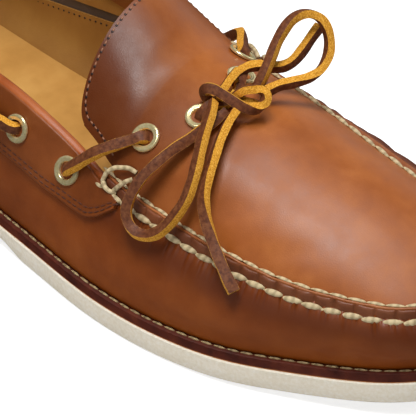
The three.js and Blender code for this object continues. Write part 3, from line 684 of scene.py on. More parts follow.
def stitch_shape(name, long, wide, high, twist, material):
    """One stitch: a plump strand along X that dives at both ends, its plies twisted."""
    places = np.linspace(-1, 1, 13)
    body = np.maximum(1 - np.abs(places) ** 2.2, 0.01) ** 0.72
    sink = -0.15 * high * np.abs(places) ** 3
    ply = 1 + 0.02 * np.cos(2 * (THREAD_SIDES[None] - twist * places[:, None]))
    rings = np.stack([
        np.broadcast_to(places[:, None] * long / 2, ply.shape),
        0.5 * wide * body[:, None] * np.cos(THREAD_SIDES) * ply,
        0.5 * high * body[:, None] * np.sin(THREAD_SIDES) * ply + sink[:, None],
    ], axis=-1)
    rings = capped(rings)
    made = tube(name, rings, material, uv=thread_uv(np.linspace(0, long, len(rings))), sharp=180)
    bpy.context.scene.collection.objects.unlink(made)
    return made


def waxed_thread(name, light, dark):
    """Waxed twisted thread: satin, with slanting plies, and painted shade darkening the gaps between them.
    """
    material, shader = new_material(name)
    uv = add_node(material, "ShaderNodeTexCoord").outputs["UV"]
    place = add_node(material, "ShaderNodeTexCoord").outputs["Object"]
    plies = add_node(material, "ShaderNodeTexWave", {"bands_direction": "DIAGONAL"}, Vector=uv, Scale=0.3,
                     Distortion=1.5, Detail=2.0).outputs["Fac"]
    wear = noise(material, place, 1.6, 3)
    # Painted shade in the gaps between plies, as the ply wave is also the bump; the wear noise is the
    # thread's own uneven colour.
    tone = math_node(material, "MULTIPLY_ADD", plies, 0.3, math_node(material, "MULTIPLY", wear, 0.7))
    material.node_tree.links.new(ramp(material, tone, (0.2, dark), (0.6, light)),
                                 shader.inputs["Base Color"])
    material.node_tree.links.new(bump(material, plies, 0.03, 0.5), shader.inputs["Normal"])
    shader.inputs["Roughness"].default_value = 0.62
    shader.inputs["Sheen Weight"].default_value = 0.05
    return material


def stitches_along_a_line():
    """Geometry Nodes: puts a stitch at every pitch of a line, turned to the line and to the
    direction held in its attribute face, with a little wander."""
    tree = bpy.data.node_groups.new("stitches_along_a_line", "GeometryNodeTree")
    for name, kind in (("Line", "Geometry"), ("Stitch", "Object"), ("Pitch", "Float"),
                       ("Slant", "Float"), ("Wander", "Float"), ("Thread", "Material")):
        tree.interface.new_socket(name, in_out="INPUT", socket_type="NodeSocket" + kind)
    tree.interface.new_socket("Stitches", in_out="OUTPUT", socket_type="NodeSocketGeometry")

    def add(kind, settings=None, **inputs):
        return add_node(tree, kind, settings, **inputs)

    given = add("NodeGroupInput").outputs
    curve = add("GeometryNodeMeshToCurve", i0=given["Line"])
    spaced = add("GeometryNodeResampleCurve", {"mode": "LENGTH"}, i0=curve.outputs[0])
    tree.links.new(given["Pitch"], spaced.inputs["Length"])
    tangent = add("GeometryNodeInputTangent")
    facing = add("GeometryNodeInputNamedAttribute", {"data_type": "FLOAT_VECTOR"}, i0="face")
    turn = add("FunctionNodeAxesToRotation", {"primary_axis": "X", "secondary_axis": "Z"},
               i0=tangent.outputs[0], i1=facing.outputs[0])
    shape = add("GeometryNodeObjectInfo", i0=given["Stitch"])
    low = add("ShaderNodeMath", {"operation": "MULTIPLY"}, i0=given["Wander"], i1=-1.0)
    wander = add("FunctionNodeRandomValue", {"data_type": "FLOAT"})
    tree.links.new(low.outputs[0], wander.inputs[2])
    tree.links.new(given["Wander"], wander.inputs[3])
    wander.inputs["Seed"].default_value = 7
    angle = add("ShaderNodeMath", {"operation": "ADD"}, i0=given["Slant"], i1=wander.outputs[1])
    own = add("ShaderNodeCombineXYZ", i2=angle.outputs[0])
    own_turn = add("FunctionNodeEulerToRotation", i0=own.outputs[0])
    both = add("FunctionNodeRotateRotation", {"rotation_space": "LOCAL"}, i0=turn.outputs[0],
               i1=own_turn.outputs[0])
    placed = add("GeometryNodeInstanceOnPoints", i0=spaced.outputs[0], i2=shape.outputs["Geometry"],
                 i5=both.outputs[0])
    real = add("GeometryNodeRealizeInstances", i0=placed.outputs[0])
    coloured = add("GeometryNodeSetMaterial", i0=real.outputs[0], i2=given["Thread"])
    done = add("NodeGroupOutput")
    tree.links.new(coloured.outputs[0], done.inputs[0])
    return tree


stitch_tree = stitches_along_a_line()
STITCH_WANDER = 0.03


def sew(name, line, facing, stitch, pitch, material, slant=0.0):
    """A row of stitches along a line of points, each facing a given way."""
    mesh = bpy.data.meshes.new(name)
    mesh.from_pydata((line * MM).tolist(), [(i, i + 1) for i in range(len(line) - 1)], [])
    layer = mesh.attributes.new("face", "FLOAT_VECTOR", "POINT")
    layer.data.foreach_set("vector", unit(facing).astype(np.float32).ravel())
    path = add_object(name + "_line", mesh)
    modifier = path.modifiers.new("stitches", "NODES")
    modifier.node_group = stitch_tree
    chosen = {"Stitch": stitch, "Pitch": pitch * MM, "Slant": math.radians(slant),
              "Wander": STITCH_WANDER, "Thread": material}
    for item in stitch_tree.interface.items_tree:
        if item.name in chosen and item.in_out == "INPUT":
            modifier[item.identifier] = chosen[item.name]
    bpy.context.view_layer.update()
    solid = bpy.data.meshes.new_from_object(path.evaluated_get(bpy.context.evaluated_depsgraph_get()))
    path.modifiers.remove(modifier)
    bpy.data.objects.remove(path)
    made = add_object(name, solid)
    solid.materials.clear()
    solid.materials.append(material)
    solid.shade_smooth()
    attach(made, "root")
    return made


WELT_INSET = 2.2
WELT_PITCH = 4.5
beige_thread = waxed_thread("waxed_beige_thread", "#C9B58C", "#8E7A56")
brown_beige_thread = waxed_thread("waxed_dull_beige_thread", "#B49C70", "#6E5838")
welt_stitch = stitch_shape("welt_stitch", 4.3, 0.8, 0.75, 1.5, brown_beige_thread)
welt_stations = np.linspace(0, ROUND, 1321)
welt_line = sole_edge(welt_stations, WELT_INSET + 0 * welt_stations, OUTSOLE + MIDSOLE + 0.1)
sew("welt_stitches", welt_line, np.broadcast_to([0, 0, 1.0], welt_line.shape), welt_stitch, WELT_PITCH,
    brown_beige_thread)


# Insole. A sock of tan leather over a soft board, inside the wall, dished a little under the heel.
def sock_leather(name, light, mid, dark):
    """Undyed lining leather: smooth and satin, with a faint grain and uneven tan."""
    material, shader = new_material(name)
    place = add_node(material, "ShaderNodeTexCoord").outputs["Object"]
    patch = noise(material, place, 22, 4, 0.55)
    pores = noise(material, place, 0.7, 2, 0.6)
    material.node_tree.links.new(ramp(material, patch, (0.3, dark), (0.5, mid), (0.72, light)),
                                 shader.inputs["Base Color"])
    material.node_tree.links.new(bump(material, pores, 0.08, 0.5), shader.inputs["Normal"])
    shader.inputs["Roughness"].default_value = 0.52
    shader.inputs["Specular IOR Level"].default_value = 0.4
    return material


insole_leather = sock_leather("smooth_tan_sock_leather", "#CE9C54", "#BE8A44", "#AC7A38")


def heel_dish(rings, levels):
    """Sinks the top face a little towards the middle of the heel."""
    x, y = rings[..., 0], rings[..., 1]
    dish = 1.6 * np.exp(-((x + 0.34 * LENGTH) / 30) ** 2 - (y / 22) ** 2)
    top = rings[..., 2] > toe_spring(x) + FLOOR_TO_UPPER + INSOLE - 0.5
    rings[..., 2] -= dish * top
    return rings


SOCK_INSET = LEDGE + WALL + 2 * GAP
insole = sole_piece("sock_insole", [
    (SOCK_INSET, above_ground(FLOOR_TO_UPPER), 0),
    (SOCK_INSET, above_ground(FLOOR_TO_UPPER + INSOLE - 0.9), 0),
    (SOCK_INSET + 0.3, above_ground(FLOOR_TO_UPPER + INSOLE - 0.25), 0),
    (SOCK_INSET + 0.9, above_ground(FLOOR_TO_UPPER + INSOLE), 0),
], heel_dish, insole_leather)
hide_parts("insole")
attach(insole, "root")


# Vamp. One sheet of full-grain pull-up leather from the sole up to the moccasin seam, lasted round
# the foot and gathered by the hand stitches, so that it puckers below the seam.
PUCKER_PITCH = 1.9
PUCKER_DEPTH = 0.36
VAMP_SHEET = 1.3


def pull_up_leather(name, dark, mid, light, rough=0.42):
    """Full-grain pull-up leather: waxed and semi-gloss, dark where the oils lie and lighter where
    they are pulled away, with painted shade mixed in as a darker brown by a point attribute, with a tight
    grain."""
    material, shader = new_material(name)
    place = add_node(material, "ShaderNodeTexCoord").outputs["Object"]
    cloud = noise(material, place, 26, 4, 0.55)
    mottle = noise(material, place, 5, 4, 0.6)
    grain = add_node(material, "ShaderNodeTexVoronoi", {"feature": "DISTANCE_TO_EDGE"}, Vector=place,
                     Scale=1 / (0.75 * MM), Randomness=1.0).outputs["Distance"]
    fine = noise(material, place, 0.35, 2)
    tint = math_node(material, "MULTIPLY", mottle, 0.25)
    tone = math_node(material, "MULTIPLY_ADD", cloud, 0.75, tint)
    speck = math_node(material, "MULTIPLY_ADD", fine, 0.16, -0.08)
    brown = ramp(material, math_node(material, "ADD", tone, speck), (0.3, dark), (0.5, mid), (0.7, light))
    # Painted shade: the colour turns to a dark brown, #481A06, where this point attribute is high.
    painted_shade = add_node(material, "ShaderNodeAttribute", {"attribute_name": "painted_shade"}).outputs["Fac"]
    coloured = mix_colour(material, painted_shade, brown, colour("#481A06"))
    material.node_tree.links.new(coloured, shader.inputs["Base Color"])
    sheen = add_node(material, "ShaderNodeMapRange", Value=mottle, From_Min=0.3, From_Max=0.7,
                     To_Min=rough - 0.05, To_Max=rough + 0.09)
    material.node_tree.links.new(sheen.outputs[0], shader.inputs["Roughness"])
    pores = bump(material, fine, 0.07, 0.5)
    cells = bump(material, grain, 0.05, 0.45, pores)
    material.node_tree.links.new(bump(material, mottle, 0.14, 0.2, cells), shader.inputs["Normal"])
    shader.inputs["Coat Weight"].default_value = 0.16
    shader.inputs["Coat Roughness"].default_value = 0.3
    shader.inputs["IOR"].default_value = 1.4
    return material


upper_leather = pull_up_leather("full_grain_pull_up_leather", "#88461A", "#9C541E", "#AE6428")


def wave_noise(values, length, seed):
    """A smooth wandering line of about one bump to each length."""
    random = np.random.default_rng(seed)
    total = 0 * values
    for k in range(7):
        own = length * (0.6 + 0.8 * random.random())
        total = total + np.sin(2 * math.pi * (values / own + random.random()))
    return total / 2.6


def shell(name, outer, inner, material, ring=False, **more):
    """A closed sheet between two grids of points, whose first direction may be a ring."""
    rows, columns = outer.shape[:2]
    around = np.concatenate([outer, inner[:, ::-1]], axis=1)
    if not ring:
        flat = 0.5 * (outer + inner)
        first = np.concatenate([flat[:1], flat[:1, ::-1]], axis=1)
        last = np.concatenate([flat[-1:], flat[-1:, ::-1]], axis=1)
        around = np.concatenate([first, around, last])
    faces = grid_faces(*around.shape[:2], ring_rows=ring, ring_columns=True)
    return piece(name, around, faces, material, **more)


def arc_length(points):
    """Length along a line of points, from its start."""
    return np.r_[0, np.cumsum(np.linalg.norm(np.diff(points, axis=0), axis=1))]


# The wall has darker colours than the plug, which is the same leather: painted shade.
shaded_wall_leather = pull_up_leather("pull_up_leather_wall_with_painted_shade", "#7C380A", "#8E440E", "#A05214")
fore_stations = np.linspace(OUTER_SEAM - 1, INNER_SEAM + 1, 961)
back_stations = np.linspace(INNER_SEAM + 1, ROUND + OUTER_SEAM - 1, 122)[1:-1]
vamp_stations = np.concatenate([fore_stations, back_stations])
vamp_ups = np.concatenate([np.linspace(0, 0.62, 15), np.linspace(0.62, 0.985, 26)[1:]])
S, U = np.meshgrid(vamp_stations, vamp_ups, indexing="ij")
walk = arc_length(top_curve(vamp_stations))[:, None]
in_seam = ease(S, OUTER_SEAM - 0.1, OUTER_SEAM + 0.5) * (1 - ease(S, INNER_SEAM - 0.5, INNER_SEAM + 0.1))
reach = 0.66 + 0.08 * wave_noise(walk, 7, 3)
pucker = np.sin(2 * math.pi * walk / PUCKER_PITCH + 1.6 * wave_noise(walk, 9, 5))
pucker = pucker * (0.65 + 0.35 * wave_noise(walk, 6, 8)) * ease(U, reach, 0.96) * in_seam
slack = 0.25 * wave_noise(walk, 17, 12) * np.sin(math.pi * np.clip((U - 0.45) / 0.5, 0, 1)) * in_seam
flare = 1.25 * np.exp(-(U / 0.1) ** 2)
relief = PUCKER_DEPTH * pucker + slack + flare
vamp_outer = wall_offset(S, U, relief)
vamp_inner = wall_offset(S, U, -VAMP_SHEET + 0 * S)
# Painted shade on the wall: darker in a band at mid height and in the troughs of the puckers.
wall_painted_shade = 0.70 * np.exp(-((U - 0.72) / 0.24) ** 2) + 0.3 * np.clip(-pucker, 0, 1)
wall_painted_shade = np.clip(wall_painted_shade, 0, 0.85)
vamp = shell("vamp_wall", vamp_outer, vamp_inner, shaded_wall_leather, ring=True,
             values={"painted_shade": np.concatenate([wall_painted_shade, wall_painted_shade], axis=1)})
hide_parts("upper")
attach(vamp, "root")


# Plug and tongue. The moccasin's plug is one piece of the same leather as its tongue: it rises
# from the seam over the toes, and runs on behind the throat as a flap with round corners.
TONGUE_ROWS = [
    (0.054, -0.324, 0.663, 0.022, 0.318, 0.769, 1.09),
    (0.017, -0.298, 0.700, -0.015, 0.305, 0.840, 1.14),
    (-0.017, -0.267, 0.781, -0.047, 0.281, 0.918, 1.05),
]
TONGUE_TIP = 2.2
TONGUE_HALF = 0.935
PLUG_HALF = 0.985
LINING_HALF = 0.97


def round_corner(across):
    """How far back the tongue's end reaches at a share across it, for its two round corners."""
    return np.maximum(0.79, (1 - np.minimum(1, np.abs(across)) ** 7) ** (1 / 14))


def plug_rise(x):
    """How far the plug's middle stands over the line between its two sides."""
    depth = top_curve(TOE)[0] - x
    return PLUG_RISE * (1 - np.exp(-depth / (0.14 * LENGTH)))


def seam_sides(row):
    """Both sides of the plug and its rise, at a share of the way from the toe to the throat."""
    outer = top_curve(TOE - (TOE - OUTER_SEAM) * row)
    inner = top_curve(TOE + (INNER_SEAM - TOE) * row)
    rise = plug_rise((outer[..., :1] + inner[..., :1]) / 2)
    return np.concatenate([outer, inner, rise], axis=-1)


TONGUE_SIZES = np.array([LENGTH, BALL_WIDTH, HEEL_HEIGHT, LENGTH, BALL_WIDTH, HEEL_HEIGHT, PLUG_RISE])
last_plug_rows = seam_sides(np.array([1 - 1 / (TOE - OUTER_SEAM), 1.0]))
tongue_rows = np.vstack([last_plug_rows, np.array(TONGUE_ROWS) * TONGUE_SIZES])


def tongue_sides(back):
    """Both sides of the tongue and its rise, in rows behind the throat."""
    cell = np.clip(np.floor(back).astype(int), 0, len(TONGUE_ROWS) - 1)
    f = (back - cell)[..., None]
    a, b, c, d = (tongue_rows[np.minimum(cell + k, len(tongue_rows) - 1)] for k in range(4))
    return catmull_rom(a, b, c, d, f)


def sheet_point(row, across):
    """Top face of the plug, and of the tongue where the row is over 1."""
    row, across = np.broadcast_arrays(np.asarray(row, float), np.asarray(across, float))
    plug = seam_sides(np.clip(row, -0.01, 1))
    tongue = tongue_sides(np.maximum(row, 1) - 1)
    sides = np.where((row <= 1)[..., None], plug, tongue)
    share = ((across + 1) / 2)[..., None]
    point = sides[..., :3] * (1 - share) + sides[..., 3:6] * share
    crown = np.maximum(0, 1 - np.abs(across) ** 2.3) ** 0.85
    point[..., 2] += sides[..., 6] * crown
    return point


def sheet_normal(row, across):
    """Unit normal up out of the plug or tongue."""
    row, across = np.broadcast_arrays(np.asarray(row, float), np.asarray(across, float))
    return normal_of(sheet_point, row, np.clip(across, -0.985, 0.985), np.array([0, 0, 1.0]))


def sheet_offset(row, across, distance):
    """A point at a distance above the plug or tongue."""
    distance = np.broadcast_to(distance, np.broadcast(row, across).shape)
    return sheet_point(row, across) + sheet_normal(row, across) * distance[..., None]


# Main creases of the plug and tongue: soft troughs (minus) and ridges, each from one place to
# another, in rows from toe to throat and shares across, with depth and half-width in millimetres
PLUG_CREASES = [
    (1.02, -0.86, 1.10, -0.30, -0.5, 5.0),
    (1.10, -0.30, 1.12, 0.45, -0.35, 6.0),
    (0.80, -0.90, 0.66, -0.62, -0.35, 4.0),
    (0.62, -0.93, 0.50, -0.66, -0.3, 4.0),
    (0.93, 0.86, 0.80, 0.55, -0.3, 4.0),
    (0.74, -0.35, 0.72, 0.40, 0.25, 7.0),
    (1.45, -0.75, 1.60, -0.15, -0.4, 6.0),
    (0.86, -0.62, 0.76, -0.50, 0.9, 9.0),
]


def creased(points, normals, table, surface):
    """Moves points along their normals by the creases in a table."""
    depth = np.zeros(points.shape[:-1])
    for row_a, across_a, row_b, across_b, deep, half in table:
        ends = surface(np.array([row_a, row_b]), np.array([across_a, across_b]))
        along = ends[1] - ends[0]
        share = np.clip(((points - ends[0]) @ along) / (along @ along), 0, 1)
        gap = np.linalg.norm(points - (ends[0] + share[..., None] * along), axis=-1)
        fade = np.sin(math.pi * np.clip(0.15 + 0.7 * share, 0, 1))
        depth += deep * fade * np.exp(-(gap / half) ** 2)
    return points + normals * depth[..., None]


plug_rows = np.concatenate([
    0.012 + 0.988 * np.linspace(0, 1, 150) ** 1.3,
    np.linspace(1, 1 + TONGUE_TIP, 110)[1:],
])
plug_across = np.sin(np.linspace(-math.pi / 2, math.pi / 2, 121))
R, A = np.meshgrid(plug_rows, plug_across, indexing="ij")
half_width = PLUG_HALF + (TONGUE_HALF - PLUG_HALF) * ease(R, 0.985, 1.05)
R = np.where(R > 1, 1 + (R - 1) * round_corner(A), R)
A = A * half_width
edge_lift = -0.5 * np.exp(-((1 - np.abs(A)) / 0.035) ** 2) * (R < 1.02)
plug_top = creased(sheet_offset(R, A, edge_lift), sheet_normal(R, A), PLUG_CREASES, sheet_point)
PLUG_SHEET = 1.4
plug_under = sheet_offset(R, A, -PLUG_SHEET)
# Painted shade on the plug and tongue: darker on the outer side towards the throat, and over the tongue.
painted_shade = 0.78 * ease(-A, -0.45, 0.65) * ease(R, 0.70, 1.08) + 0.22 * ease(R, 1.2, 2.4)
painted_shade = np.clip(painted_shade, 0, 0.8)
painted_shade = np.concatenate([painted_shade, painted_shade], axis=1)
painted_shade = np.concatenate([painted_shade[:1], painted_shade, painted_shade[-1:]])
plug = shell("plug_and_tongue", plug_top, plug_under, upper_leather, sharp=50, values={"painted_shade": painted_shade})
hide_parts("tongue", "upper")
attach(plug, "root")

# Tongue lining: the flap is backed with the tan leather of the sock, cut back from its edge.
# The lining's colours are darker than the sock's: painted shade, also on the wall's lining and the collar
# facing.
shaded_lining_leather = sock_leather("smooth_tan_lining_leather_with_painted_shade", "#AC7C3A", "#9C6C30", "#8C5E28")
R2, A2 = np.meshgrid(np.linspace(0.2, 1 + TONGUE_TIP - 0.03, 90),
                     np.linspace(-LINING_HALF, LINING_HALF, 61), indexing="ij")
half_width = LINING_HALF + (TONGUE_HALF - 0.02 - LINING_HALF) * ease(R2, 0.95, 1.05)
R2 = np.where(R2 > 1, 1 + (R2 - 1) * round_corner(A2), R2)
A2 = A2 * half_width / LINING_HALF
tongue_lining = shell("plug_and_tongue_lining", sheet_offset(R2, A2, -PLUG_SHEET - 0.05),
                      sheet_offset(R2, A2, -WALL), shaded_lining_leather, sharp=50)
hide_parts("tongue")
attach(tongue_lining, "root")


# Moccasin seam. The wall's gathered edge and the plug's turned-up edge stand together as a ridge,
# sewn through by hand with two rows of waxed thread: a fat one at its foot, a thin one inside it.
LOWER_PITCH = 6.25
UPPER_PITCH = 5.8


def seam_frame(stations):
    """Places along the seam with their outward and upward directions."""
    stations = np.asarray(stations, float)
    return top_curve(stations), outward(stations)


def seam_profile(stations, profile):
    """Rings of a section given as out and up from the seam line, in millimetres."""
    centre, out = seam_frame(stations)
    profile = np.asarray(profile, float)
    rings = centre[:, None] + out[:, None] * profile[..., :1]
    rings[..., 2] += profile[..., 1]
    return rings


seam_stations = np.linspace(OUTER_SEAM - 0.12, INNER_SEAM + 0.12, 1001)
seam_walk = arc_length(top_curve(seam_stations))
hole = np.abs(((seam_walk / LOWER_PITCH + 0.5) % 1) - 0.5) * LOWER_PITCH
pinch = np.exp(-(hole / 0.45) ** 2)
swell = np.cos(math.pi * np.clip(hole / (LOWER_PITCH / 2), 0, 1))
strip = np.array([[1.75, -2.0], [1.65, -1.0], [1.45, 0.1], [1.2, 1.1], [0.95, 1.75], [0.6, 2.05], [0.2, 1.9],
                  [0.0, 1.0], [0.0, -2.2]])
bulge = np.array([0.2, 0.6, 1, 1, 0.8, 0.4, 0, 0, 0])
strip_rings = np.broadcast_to(strip, (len(seam_stations),) + strip.shape).copy()
wobble = wave_noise(seam_walk, 5, 21)
strip_rings[..., 0] += bulge * (-0.5 * pinch - 0.12 * swell + 0.10 * wobble)[:, None]
strip_rise = np.array([0, 0, 0, 0.3, 0.6, 1, 0.8, 0, 0])
strip_rings[..., 1] += strip_rise * (0.12 * wave_noise(seam_walk, 8, 22) - 0.18 * pinch)[:, None]
# The gathered edge has much darker colours than the plug: painted shade on the ridge's outward face.
shaded_gathered_leather = pull_up_leather("gathered_edge_of_pull_up_leather_with_painted_shade", "#5A2A16", "#703C20", "#884E2E",
                                   rough=0.5)
gathered = capped(seam_profile(seam_stations, strip_rings))
gathered_edge = tube("gathered_vamp_edge", gathered, shaded_gathered_leather, sharp=70)
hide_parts("upper")
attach(gathered_edge, "root")

lip = np.array([[0.0, -1.6], [0.05, 1.2], [0.2, 1.9], [0.1, 2.3], [-0.2, 2.45], [-0.6, 2.3], [-1.0, 1.9],
                [-1.5, 1.7], [-2.2, 1.9], [-2.6, 1.0], [-1.6, -1.6]])
lip_rings = np.broadcast_to(lip, (len(seam_stations),) + lip.shape).copy()
lip_rise = np.array([0, 0.4, 1, 1, 1, 1, 0.6, 0.3, 0, 0, 0])
lip_rings[..., 1] += lip_rise * (0.10 * wave_noise(seam_walk, 9, 31))[:, None]
lip_leather = pull_up_leather("turned_edge_of_pull_up_leather", "#7A3E16", "#965426", "#B06C3A", rough=0.42)
turned = capped(seam_profile(seam_stations, lip_rings))
turned_edge = tube("turned_plug_edge", turned, lip_leather, sharp=70)
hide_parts("upper")
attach(turned_edge, "root")

lower_stitch = stitch_shape("lower_seam_stitch", 7.1, 2.0, 1.5, 1.0, beige_thread)
upper_stitch = stitch_shape("upper_seam_stitch", 6.3, 1.45, 1.1, 1.0, beige_thread)
seam_place, seam_out = seam_frame(seam_stations)
UP = np.array([0, 0, 1.0])
lower_line = seam_place + seam_out * 2.25 - UP * 1.3
set_back = ease(seam_stations, TOE + 2, TOE + 5)[:, None]
upper_line = seam_place - seam_out * 1.3 + UP * 2.35
# On the inner side the plug's edge lies flatter, so the upper stitches stand further in on it
inner_row = np.clip((seam_stations - TOE) / (INNER_SEAM - TOE), 0.02, 1)
upper_line = upper_line * (1 - set_back) + sheet_offset(inner_row, 0.80 + 0 * inner_row, 0.45) * set_back
sew("lower_seam_stitches", lower_line, 0.8 * seam_out + 0.6 * UP, lower_stitch, LOWER_PITCH,
    beige_thread, slant=4)
sew("upper_seam_stitches", upper_line, UP - 0.25 * seam_out, upper_stitch, UPPER_PITCH,
    beige_thread, slant=-3)


THREAD_STEP = 0.3


def thread_line(name, route, wide, material):
    """A round thread along a route of places."""
    line = smooth_line(route, THREAD_STEP)
    along = unit(np.gradient(line, axis=0))
    side = unit(np.cross(along, UP + 0.01))
    over = np.cross(side, along)
    cosine, sine = (turn(THREAD_SIDES)[None, :, None] for turn in (np.cos, np.sin))
    spokes = side[:, None] * cosine + over[:, None] * sine
    rings = capped(line[:, None] + spokes * wide / 2)
    made = tube(name, rings, material, uv=thread_uv(THREAD_STEP * np.arange(len(rings))), sharp=180)
    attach(made, "root")


# Each end of the seam is fastened off with three turns of the thick thread over the throat's corner
WRAP_THICK = 1.5
OUTER_WRAPS = [
    [[26.2, -40.5, 45.0], [28.2, -41.5, 43.9], [30.2, -41.3, 43.2], [31.8, -40.2, 42.8]],
    [[26.3, -40.7, 44.8], [27.0, -39.4, 47.8], [28.9, -38.1, 49.8], [30.9, -37.1, 50.5], [33.3, -35.9, 50.8],
     [35.6, -35.0, 49.8]],
    [[30.9, -40.4, 43.4], [32.7, -40.0, 45.7], [34.5, -38.9, 47.8], [36.1, -37.4, 48.8]],
]
inner_shift = top_curve(INNER_SEAM) - top_curve(OUTER_SEAM) * [1, -1, 1]
for number, wrap in enumerate(OUTER_WRAPS):
    thread_line(f"outer_seam_end_wrap_{number + 1}", wrap, WRAP_THICK, beige_thread)
    mirrored = np.array(wrap) * [1, -1, 1] + inner_shift
    thread_line(f"inner_seam_end_wrap_{number + 1}", mirrored, WRAP_THICK, beige_thread)

# A row of fine tan thread runs round the tongue's free edge, and dives into a small hole each stitch
EDGE_PITCH = 2.45
edge_across = np.concatenate([-np.ones(30), np.linspace(-1, 1, 161), np.ones(30)])
edge_back = (TONGUE_TIP - 0.1) * round_corner(edge_across)
edge_back[:30] = np.linspace(0.15, 0.985, 30) * edge_back[30]
edge_back[-30:] = edge_back[:30][::-1]
edge_half = (TONGUE_HALF - 0.045) * edge_across
edge_line = sheet_offset(1 + edge_back, edge_half, 0.05)
edge_up = sheet_normal(1 + edge_back, edge_half)
tan_thread = waxed_thread("fine_pinkish_tan_thread", "#96664A", "#744630")
hole_shadow = waxed_thread("dark_needle_hole", "#2A120A", "#1C0A06")
edge_stitch = stitch_shape("tongue_edge_stitch", 1.5, 0.55, 0.4, 1.0, tan_thread)
needle_hole = stitch_shape("tongue_edge_hole", 1.1, 0.95, 0.22, 1.0, hole_shadow)
sew("tongue_edge_stitches", edge_line, edge_up, edge_stitch, EDGE_PITCH, tan_thread)
edge_walk = arc_length(edge_line)
half_way = [np.interp(edge_walk[:-1] + EDGE_PITCH / 2, edge_walk, edge_line[:, k]) for k in range(3)]
sew("tongue_edge_holes", np.stack(half_way, axis=1), edge_up[:-1], needle_hole, EDGE_PITCH, hole_shadow)


# Quarter. A panel of the same leather, in darker colours that are painted shade, wrapped round the
# collar over the wall and sewn down with two rows of fine dark thread along its lower edge.
OVERLAY_EDGE = [(0.00, 0.80, 0.88), (0.14, 0.71, 0.91), (0.34, 0.61, 0.92), (0.61, 0.53, 0.94),
                (1.10, 0.49, 0.985), (1.90, 0.45, 0.985), (9.50, 0.45, 0.985)]
OVERLAY_PAST_SEAM = 0.34
QUARTER_ROWS = (1.5, 2.9)
FINE_PITCH = 2.6
overlay_front = OUTER_SEAM + OVERLAY_PAST_SEAM
overlay_end = INNER_SEAM - ROUND - OVERLAY_PAST_SEAM
shaded_quarter_leather = pull_up_leather("full_grain_pull_up_leather_quarter_with_painted_shade", "#66300E", "#7A3C12", "#8C4A1C")


def overlay_limits(stations):
    """Lower and upper edge of the quarter's panel, as shares of the wall."""
    back = np.minimum(overlay_front - stations, stations - overlay_end)
    table = np.array(OVERLAY_EDGE)
    fine = np.linspace(0, 3, 301)
    low = np.interp(fine, table[:, 0], table[:, 1])
    high = np.interp(fine, table[:, 0], table[:, 2])
    soft = np.ones(21) / 21
    low[10:-10] = np.convolve(low, soft, mode="same")[10:-10]
    return np.interp(back, fine, low), np.interp(back, fine, high)


quarter_stations = np.concatenate([
    overlay_end + 1.9 * np.linspace(0, 1, 60)[:-1] ** 1.5,
    np.linspace(overlay_end + 1.9, overlay_front - 1.9, 260),
    overlay_front - 1.9 * np.linspace(1, 0, 60)[1:] ** 1.5,
])
panel_low, panel_high = overlay_limits(quarter_stations)
share = np.concatenate([[0, 0.012, 0.03], np.linspace(0.05, 0.95, 22), [0.975, 1]])
edge_drop = np.concatenate([[-1.0, -0.35, -0.06], np.zeros(22), [-0.1, -0.5]])
Q, W = np.meshgrid(quarter_stations, share, indexing="ij")
Q_up = panel_low[:, None] + (panel_high - panel_low)[:, None] * W
above_edge = (Q_up - panel_low[:, None]) * (top_curve(quarter_stations)[:, 2] - FLOOR_TO_UPPER)[:, None]
furrow = -0.22 * sum(np.exp(-((above_edge - row) / 0.45) ** 2) for row in QUARTER_ROWS)
quarter = shell("quarter_panel", wall_offset(Q, Q_up, GAP + OVERLAY + edge_drop[None] + furrow),
                wall_offset(Q, Q_up, 0.02), shaded_quarter_leather, sharp=60)
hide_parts("quarter")
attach(quarter, "root")

dark_thread = waxed_thread("fine_dark_brown_thread", "#5A2C18", "#34160C")
fine_stitch = stitch_shape("quarter_stitch", 2.3, 0.45, 0.45, 1.0, dark_thread)
for number, above in enumerate(QUARTER_ROWS):
    height = above / (top_curve(quarter_stations)[:, 2] - FLOOR_TO_UPPER)
    ups = np.minimum(panel_low + height, panel_high - 0.03)
    sew(f"quarter_stitches_{number + 1}", wall_offset(quarter_stations, ups, GAP + OVERLAY - 0.1),
        wall_normal(quarter_stations, ups), fine_stitch, FINE_PITCH, dark_thread)


# Collar. A soft roll of the quarter's leather turned over the top edge, from one end of the seam
# round the heel to the other, in colours lighter than the quarter's: painted light on the roll.
collar_stations = np.linspace(INNER_SEAM - ROUND + 0.1, OUTER_SEAM - 0.1, 400)
lit_collar_leather = pull_up_leather("rolled_pull_up_leather_with_painted_light", "#843E18", "#9C4E20", "#B3642F", rough=0.38)
COLLAR = [(1.6, -5.0), (1.95, -3.8), (2.15, -2.4), (1.95, -0.8), (1.15, 0.4), (-0.3, 0.9), (-1.6, 0.4),
          (-2.4, -0.8), (-2.6, -2.4), (-2.3, -4.2), (-2.0, -4.8), (-0.5, -3.6)]
narrow = 1 - 0.55 * ease(np.abs(collar_stations - 0.5), 7.2, 8.6)
collar_profile = np.array(COLLAR)[None] * narrow[:, None, None]
collar_rings = capped(seam_profile(collar_stations, collar_profile))
collar = tube("collar_roll", collar_rings, lit_collar_leather, sharp=80)
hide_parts("quarter")
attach(collar, "root")


# Lining. Tan leather covers the inside of the wall, with a stitched top edge; a strip of grey
# suede and a tan facing show above it, up to the collar's roll.
LINING_UP = 0.70
LINING_FORE = 0.26
INNER_DROP = ([24.6, 26.5, 27.75, 29.3, 31, ROUND], [0.96, 0.56, 0.44, 0.27, 0.50, 0.70])


def lining_edge(station, fore=0):
    """The lining's top edge as a share of the wall; it drops along the inner side."""
    station = station % ROUND
    dropped = np.interp(station, *INNER_DROP)
    return np.where(station > INNER_DROP[0][0], dropped, LINING_UP + LINING_FORE * fore)


